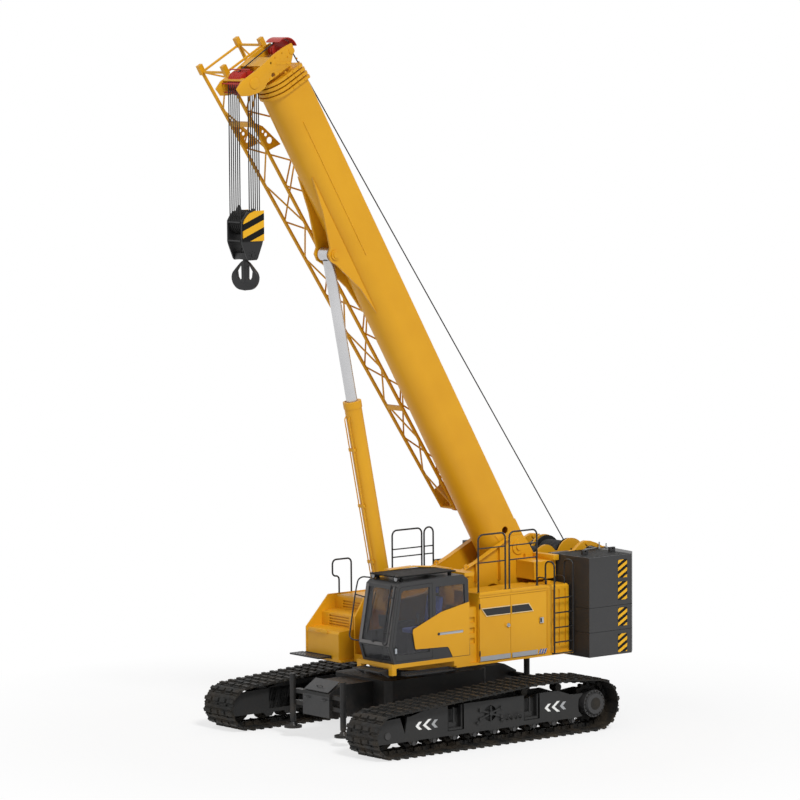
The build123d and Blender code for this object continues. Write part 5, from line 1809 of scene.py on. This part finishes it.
centre = {
    "face": (2.3, 0.40, 0.49, 0.88),
    "faceIn": 0.002,
    "faceOut": 0.006,
    "lugs": (-0.25, 0.25),
    "lug": ((0, -0.05, 0.82), (0.05, -0.05, 0.82), (0.05, 0.05, 0.82), (0, 0.05, 0.82)),
    "lid": ((2.292, 0.955), (2.012, 1.135), 0.36),
    "lidThick": 0.02,
    "grip": {"half": 0.08, "along": 0.05, "rise": 0.03, "radius": 0.008},
    "sleeves": (2.26, 0.77, 0.058, 0.30, 0.48),
    "ring": (0.78, 1.215, 36),
    "ringBolt": (0.016, 0.018),
}


def makeBoxFace(sign):
    x, half, low, high = centre["face"]
    x0, x1 = sorted((sign * (x - centre["faceIn"]), sign * (x + centre["faceOut"])))
    face = softenEdges(addBlock("face", (x0, -half, low), (x1, half, high)), 0.004, 1)
    parts = [insetFaces(face, (sign, 0, 0), 0.045, -0.003)]
    for y in centre["lugs"]:
        hoop = [(sign * (x + a), y + b, z) for a, b, z in centre["lug"]]
        parts.append(addTube("faceLug", hoop, 0.014, 0.03, 3, 3))
    return parts


def makeBoxLid():
    # a sloped lid with a grip across its middle
    (ax, az), (bx, bz), wide = centre["lid"]
    thick, grip = centre["lidThick"], centre["grip"]
    slope = Vector((bx - ax, 0, bz - az))
    up = Vector((bz - az, 0, ax - bx)).normalized()
    dx, dz = up.x * thick, up.z * thick
    outline = [(ax, az), (bx, bz), (bx + dx, bz + dz), (ax + dx, az + dz)]
    lid = softenEdges(addPlate("lid", outline, -wide, wide), 0.005, 1)
    low = Vector((ax, 0, az)) + slope * 0.5 + up * thick - slope.normalized() * grip["along"]
    high = low + up * grip["rise"]
    near, far = Vector((0, -grip["half"], 0)), Vector((0, grip["half"], 0))
    path = (low + near, high + near, high + far, low + far)
    return [lid, addTube("lidGrip", path, grip["radius"], 0.02, 2, 3)]


def makeCentre():
    parts = makeBoxFace(1) + makeBoxFace(-1) + makeBoxLid()
    finishPiece(joinPieces(parts, "boxFaces"), "charcoal", "chassis")
    x, y, radius, low, high = centre["sleeves"]
    ends = [addRound("sleeveEnd", (a * x, b * y, low), (a * x, b * y, high), radius, 20)
            for a in (1, -1) for b in (1, -1)]
    finishPiece(joinPieces(ends, "sleeveEnds"), "chassisBlack", "chassis")
    radius, z, count = centre["ring"]
    angles = [math.tau * i / count for i in range(count)]
    spots = [(radius * math.cos(a), radius * math.sin(a), z) for a in angles]
    boltRow("ringBolts", spots, (0, 0, 1), *centre["ringBolt"], "trimBlack", "chassis")


makeCentre()
print("centre made")


# exhaust tray, cab roof arm, jib gussets, boom strips and collar bolts

upper = {
    "tray": ((-2.82, -1.5, 2.52), (-1.82, -1.12, 2.96), 0.02, -0.36),
    "pipe": {"at": (-2.32, -1.31), "radius": 0.07, "foot": 0.05, "top": 0.03, "depth": -0.12},
    "arm": ((1.02, 0.56, 3.205), (0.42, 0.60, 3.222), (0.0, 0.86, 3.205), (-0.20, 0.98, 3.155)),
    "armHalf": ((0.09, 0.06, 0.05), 0.008),
    "armEye": {"half": 0.03, "down": 0.02, "radius": 0.04},
}

# a gusset's outline and holes from its place on the jib's chord, along and up
jib = {
    "base": ((-0.55, -0.74), (-1.29, -0.74)),
    "tip": ((-0.56, -0.30), (-0.96, -0.30)),
    "ends": (11.08, 1.0),
    "gussetAt": 9.59,
    "gusset": ((-0.25, 0.01), (-0.30, 0.34), (0.205, 0.15), (0.40, -0.02)),
    "gussetHalf": 0.006,
    "holes": ((-0.10, 0.15, 0.062), (0.035, 0.13, 0.034), (0.12, 0.10, 0.026)),
    "carriers": (9.93, 3.4),
    "carrierHalf": (0.05, 0.02),
}

# the sections' collars step in from one to the next
collars = {
    "bodies": ("boom", "section_2", "section_3", "section_4", "section_5"),
    "first": 10.409,
    "pitch": 0.085,
    "half": 0.392,
    "top": 0.36,
    "stepIn": 0.009,
    "sideV": (-0.15, 0.0, 0.15),
    "topY": 0.16,
    "sideBolt": (0.016, 0.012),
    "topBolt": (0.016, 0.02),
}

boomStrip = {"along": (6.84, 9.75), "y": (0.346, 0.362), "v": (-0.262, -0.238)}


def jibCorner(corner, u):
    u0, u1 = jib["ends"]
    share = (u0 - u) / (u0 - u1)
    (y0, v0), (y1, v1) = jib["base"][corner], jib["tip"][corner]
    return y0 + (y1 - y0) * share, v0 + (v1 - v0) * share


def makeTray():
    low, high, wall, depth = upper["tray"]
    tray = insetFaces(softenEdges(addBlock("tray", low, high), 0.006, 1), (0, 0, 1), wall, depth)
    pipe = upper["pipe"]
    x, y = pipe["at"]
    tube = addRound("pipe", (x, y, low[2] + pipe["foot"]), (x, y, high[2] - pipe["top"]), pipe["radius"], 24)
    insetFaces(tube, (0, 0, 1), 0.008, pipe["depth"])
    piece = finishPiece(joinPieces([tray, tube], "exhaustTray"), "charcoal", "upperstructure")
    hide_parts("exhaust_box")


def makeGussets():
    at, half = jib["gussetAt"], jib["gussetHalf"]
    parts = []
    for corner in (0, 1):
        y, v = jibCorner(corner, at)
        gusset = addPlate("gusset", [(at + a, v + b) for a, b in jib["gusset"]], y - half, y + half)
        for along, up, radius in jib["holes"]:
            u, w = at + along, v + up
            cutWith(gusset, addRound("hole", (u, y - 0.02, w), (u, y + 0.02, w), radius, 20))
        parts.append(gusset)
    reach, thick = jib["carrierHalf"]
    for u in jib["carriers"]:
        # plates between the jib's lower chords
        y0, v = jibCorner(0, u)
        y1, _ = jibCorner(1, u)
        parts.append(addBlock("carrier", (u - reach, y1, v - thick), (u + reach, y0, v + thick)))
    finishPiece(toBoom(joinPieces(parts, "jibGussets")), "machineYellow", "boom")


def makeStrips():
    (u0, u1), (y0, y1), (v0, v1) = boomStrip["along"], boomStrip["y"], boomStrip["v"]
    strips = [addBlock("strip", (u0, low, v0), (u1, high, v1)) for low, high in ((y0, y1), (-y1, -y0))]
    parts = [softenEdges(strip, 0.004, 1) for strip in strips]
    finishPiece(toBoom(joinPieces(parts, "boomStrips")), "machineYellow", "boom")


def makeCollarBolts():
    c = collars
    for index, body in enumerate(c["bodies"]):
        u = c["first"] + c["pitch"] * index
        half, top = c["half"] - c["stepIn"] * index, c["top"] - c["stepIn"] * index
        for sign, side in ((1, "left"), (-1, "right")):
            end = "_%d_%s" % (index, side)
            spots = [(u, sign * half, v) for v in c["sideV"]]
            toBoom(boltRow("collarBolts" + end, spots, (0, sign, 0), *c["sideBolt"], "machineYellow", body))
            spots = [(u, sign * c["topY"], top)]
            toBoom(boltRow("collarTop" + end, spots, (0, 0, 1), *c["topBolt"], "machineYellow", body))


def makeRoofArm():
    points = [Vector(p) for p in upper["arm"]]
    widths, half = upper["armHalf"]
    parts = []
    for a, b, width in zip(points, points[1:], widths):
        along = (b - a).normalized()
        across = Vector((-along.y, along.x, 0)).normalized()
        bar = addBlock("arm", (0, -width, -half), ((b - a).length, width, half))
        turn = Matrix((along, across, along.cross(across))).transposed().to_4x4()
        bar.data.transform(Matrix.Translation(a) @ turn)
        parts.append(softenEdges(bar, 0.003, 1))
    x, y, z = points[-1]
    eye = upper["armEye"]
    low, high = (x, y - eye["half"], z - eye["down"]), (x, y + eye["half"], z - eye["down"])
    parts.append(addRound("armEye", low, high, eye["radius"], 20))
    finishPiece(joinPieces(parts, "roofArm"), "machineYellow", "upperstructure")


makeTray()
makeGussets()
makeStrips()
makeCollarBolts()
makeRoofArm()
print("tray, gussets, strips and roof arm made")


# lift cylinder: gland, band round the barrel and two pipes in their clamps

lift = {
    "foot": (0.6, 2.45),
    "angle": math.radians(78.78),
    "length": 4.0,
    "radius": 0.165,
    # the gland is counted from the barrel's end; past is how far the bore's cutter runs on
    "gland": {"from": -0.05, "to": 0.012, "out": 0.012, "bore": 0.125, "past": (0.01, 0.008)},
    "band": {"from": 0.62, "to": 0.68, "out": 0.008, "bore": 0.155, "past": (0.02, 0.02)},
    "pipeY": (-0.06, 0.06),
    "pipeStart": ((0.30, -0.01), (0.36, -0.03)),
    "pipeEnd": ((-0.30, -0.03), (-0.26, 0.01)),
    "clamps": (0.9, 2.0, 3.1),
    "clamp": ((-0.03, -0.09, -0.02), (0.03, 0.09, 0.02)),
    "clampUp": -0.02,
}


def liftPlace(along, y=0.0, up=0.0):
    c, s = math.cos(lift["angle"]), math.sin(lift["angle"])
    x, z = lift["foot"]
    return Vector((x + along * c - up * s, y, z + along * s + up * c))


def makeLiftRing(name, start):
    spec = lift[name]
    low, high, (before, after) = start + spec["from"], start + spec["to"], spec["past"]
    ring = addRound(name, liftPlace(low), liftPlace(high), lift["radius"] + spec["out"], 48)
    return cutWith(ring, addRound("bore", liftPlace(low - before), liftPlace(high + after), spec["bore"], 32))


def makeLiftTrim():
    end, radius = lift["length"], lift["radius"]
    parts = [softenEdges(makeLiftRing("gland", end), 0.006, 2), makeLiftRing("band", 0.0)]
    for y in lift["pipeY"]:
        path = [liftPlace(along, y, -radius + up) for along, up in lift["pipeStart"]]
        path += [liftPlace(end + along, y, -radius + up) for along, up in lift["pipeEnd"]]
        parts.append(addTube("pipe", path, 0.012, 0.03, 3, 3))
    for along in lift["clamps"]:
        clamp = addBlock("clamp", *lift["clamp"])
        place = Matrix.Translation(liftPlace(along, 0, -radius + lift["clampUp"]))
        clamp.data.transform(place @ Matrix.Rotation(-lift["angle"], 4, "Y"))
        parts.append(softenEdges(clamp, 0.004, 1))
    finishPiece(joinPieces(parts, "liftTrim"), "machineYellow", "cylinder_barrel")


makeLiftTrim()
print("lift trim made")


# frame trim: flanges and ribs on the twin plates, housings beside the winches, arms over the counterweight

frameTrim = {
    "plateY": 0.42,
    "flange": ((-2.12, 3.545), (-1.30, 3.155), (-0.85, 2.965), (0.0, 2.645), (0.44, 2.595)),
    "flangeY": (-0.045, 0.085),
    "flangeThick": 0.014,
    "ribs": ((-2.50, 3.20), (-1.85, 3.38), (-1.25, 3.10), (-0.70, 2.88)),
    "ribFoot": 2.745,
    "ribOut": (0.09, 0.06),
    "ribHalf": 0.01,
    "housing": ((-2.85, 0.425, 2.745), (-2.30, 0.96, 3.10)),
    "beam": ((-2.86, 0.425, 3.10), (-2.72, 1.04, 3.205)),
    "ears": ((-1.02, 3.02), (-0.30, 2.74)),
    "ear": ((-0.09, -0.12), (0.09, -0.16), (0.05, 0.07), (0, 0.10), (-0.05, 0.07)),
    "earY": (0.02, 0.045),
    "earHole": (0.03, 0.03),
    "armY": (0.76, 0.84),
    "armPin": (-3.74, 3.33, 0.03),
    "arm": ((-3.30, 3.212), (-3.43, 3.225), (-3.55, 3.32), (-3.64, 3.365), (-3.72, 3.385), (-3.85, 3.37),
            (-3.99, 3.325), (-4.10, 3.275), (-4.175, 3.235), (-4.24, 3.232), (-4.24, 3.212), (-4.08, 3.212),
            (-3.98, 3.235), (-3.88, 3.27), (-3.78, 3.27), (-3.68, 3.212)),
    "rods": ((-4.02, 3.34), (-4.20, 3.30)),
    "rodY": 0.90,
    "rod": (3.205, 0.013),
    "rodNut": (3.212, 3.235, 0.026),
    # thin black sheets on the weight's top: painted shade of its shadowed recess
    "shadeSheet": {"x": (-3.95, -2.92), "y": (0.86, 1.86), "z": (3.2103, 3.214)},
}


def makeFrameTrim():
    t = frameTrim
    y0, foot, half = t["plateY"], t["ribFoot"], t["ribHalf"]
    top = list(t["flange"])
    outline = top + [(x, z + t["flangeThick"]) for x, z in reversed(top)]
    low, high = t["flangeY"]
    parts = [softenEdges(addPlate("flange", outline, y0 + low, y0 + high), 0.003, 1)]
    wide, narrow = t["ribOut"]
    for x, high in t["ribs"]:
        outline = ((y0, foot), (y0 + wide, foot), (y0 + narrow, high), (y0, high))
        parts.append(addPlate("rib", outline, x - half, x + half, axis="X"))
    housing = softenEdges(addBlock("housing", *t["housing"]), 0.012, 2)
    insetFaces(housing, (0, 1, 0), 0.05, -0.012, 0.1)
    parts.append(insetFaces(housing, (1, 0, 0), 0.05, -0.012, 0.1))
    parts.append(softenEdges(addBlock("beam", *t["beam"]), 0.008, 2))
    low, high = t["earY"]
    up, radius = t["earHole"]
    for x, z in t["ears"]:
        ear = addPlate("ear", [(x + a, z + b) for a, b in t["ear"]], y0 + low, y0 + high)
        parts.append(cutWith(ear, addRound("hole", (x, y0, z + up), (x, y0 + 0.1, z + up), radius, 20)))
    low, high = t["armY"]
    parts.append(softenEdges(addPlate("arm", t["arm"], low, high), 0.006, 1))
    x, z, radius = t["armPin"]
    parts.append(addRound("armPin", (x, low - 0.03, z), (x, high + 0.03, z), radius, 20))
    left = joinPieces(parts, "frameTrim_left")
    finishPiece(left, "machineYellow", "upperstructure")
    finishPiece(mirrored(left), "machineYellow", "upperstructure", name="frameTrim_right")


def makeWeightTop():
    # hanger rods with their nuts, and on either side a thin black sheet: painted shade that stands in for the
    # shadowed recess in the weight's top
    t = frameTrim
    foot, radius = t["rod"]
    nutLow, nutHigh, nutRadius = t["rodNut"]
    (x0, x1), (z0, z1) = t["shadeSheet"]["x"], t["shadeSheet"]["z"]
    rods, shadeSheets = [], []
    for sign in (1, -1):
        y = sign * t["rodY"]
        for x, high in t["rods"]:
            rods.append(addRound("rod", (x, y, foot), (x, y, high), radius, 12))
            rods.append(addRound("rodNut", (x, y, nutLow), (x, y, nutHigh), nutRadius, 6))
        a, b = sorted(sign * y for y in t["shadeSheet"]["y"])
        shadeSheets.append(softenEdges(addBlock("shadeSheet", (x0, a, z0), (x1, b, z1)), 0.001, 1))
    finishPiece(joinPieces(rods, "hangerRods"), "latchSteel", "upperstructure")
    finishPiece(joinPieces(shadeSheets, "weightTopShade"), "roofBlack", "upperstructure")


makeFrameTrim()
makeWeightTop()
print("frame trim made")


# rim along the left house's roof, the front housing's lid and hoses under the deck

bodyTrim = {
    "roofRim": ((-2.15, 1.44, 2.66), (-0.47, 1.513, 2.728)),
    "rimSplit": ((-1.244, 1.5, 2.65), (-1.236, 1.6, 2.75)),
    "lid": ((1.3753, -1.40, 1.86), (1.385, -0.82, 1.945)),
    "grip": ((0.008, -1.17, 1.885), (0.035, -1.17, 1.885), (0.035, -1.05, 1.885), (0.008, -1.05, 1.885)),
}

# a hose's path from its own y; its second point also goes forward from one hose to the next
hoses = {
    "first": 0.55,
    "apart": 0.07,
    "forward": 0.03,
    "count": 4,
    "path": ((1.30, 0, 1.38), (1.30, 0, 1.26), (1.16, 0.02, 1.22), (1.0, 0.03, 1.28), (0.9, 0.03, 1.38)),
    "radius": 0.014,
}


def makeBodyTrim():
    t = bodyTrim
    rim = softenEdges(addBlock("roofRim", *t["roofRim"]), 0.008, 2)
    cutWith(rim, addBlock("rimSplit", *t["rimSplit"]))
    lid = softenEdges(addBlock("lid", *t["lid"]), 0.005, 2)
    grip = addTube("lidGrip", moved(t["grip"], t["lid"][0][0]), 0.007, 0.015, 2, 3)
    finishPiece(joinPieces([rim, lid, grip], "houseRim"), "machineYellow", "upperstructure")


def makeHoses():
    # they hang in loops between the deck and the undercarriage
    h = hoses
    parts = []
    for i in range(h["count"]):
        path = moved(h["path"], y=h["first"] + h["apart"] * i)
        path[1:2] = moved(path[1:2], x=h["forward"] * i)
        parts.append(addTube("hose", path, h["radius"], 0.06, 3, 4))
    finishPiece(joinPieces(parts, "deckHoses"), "trimBlack", "upperstructure", 50)


makeBodyTrim()
makeHoses()
print("body trim made")
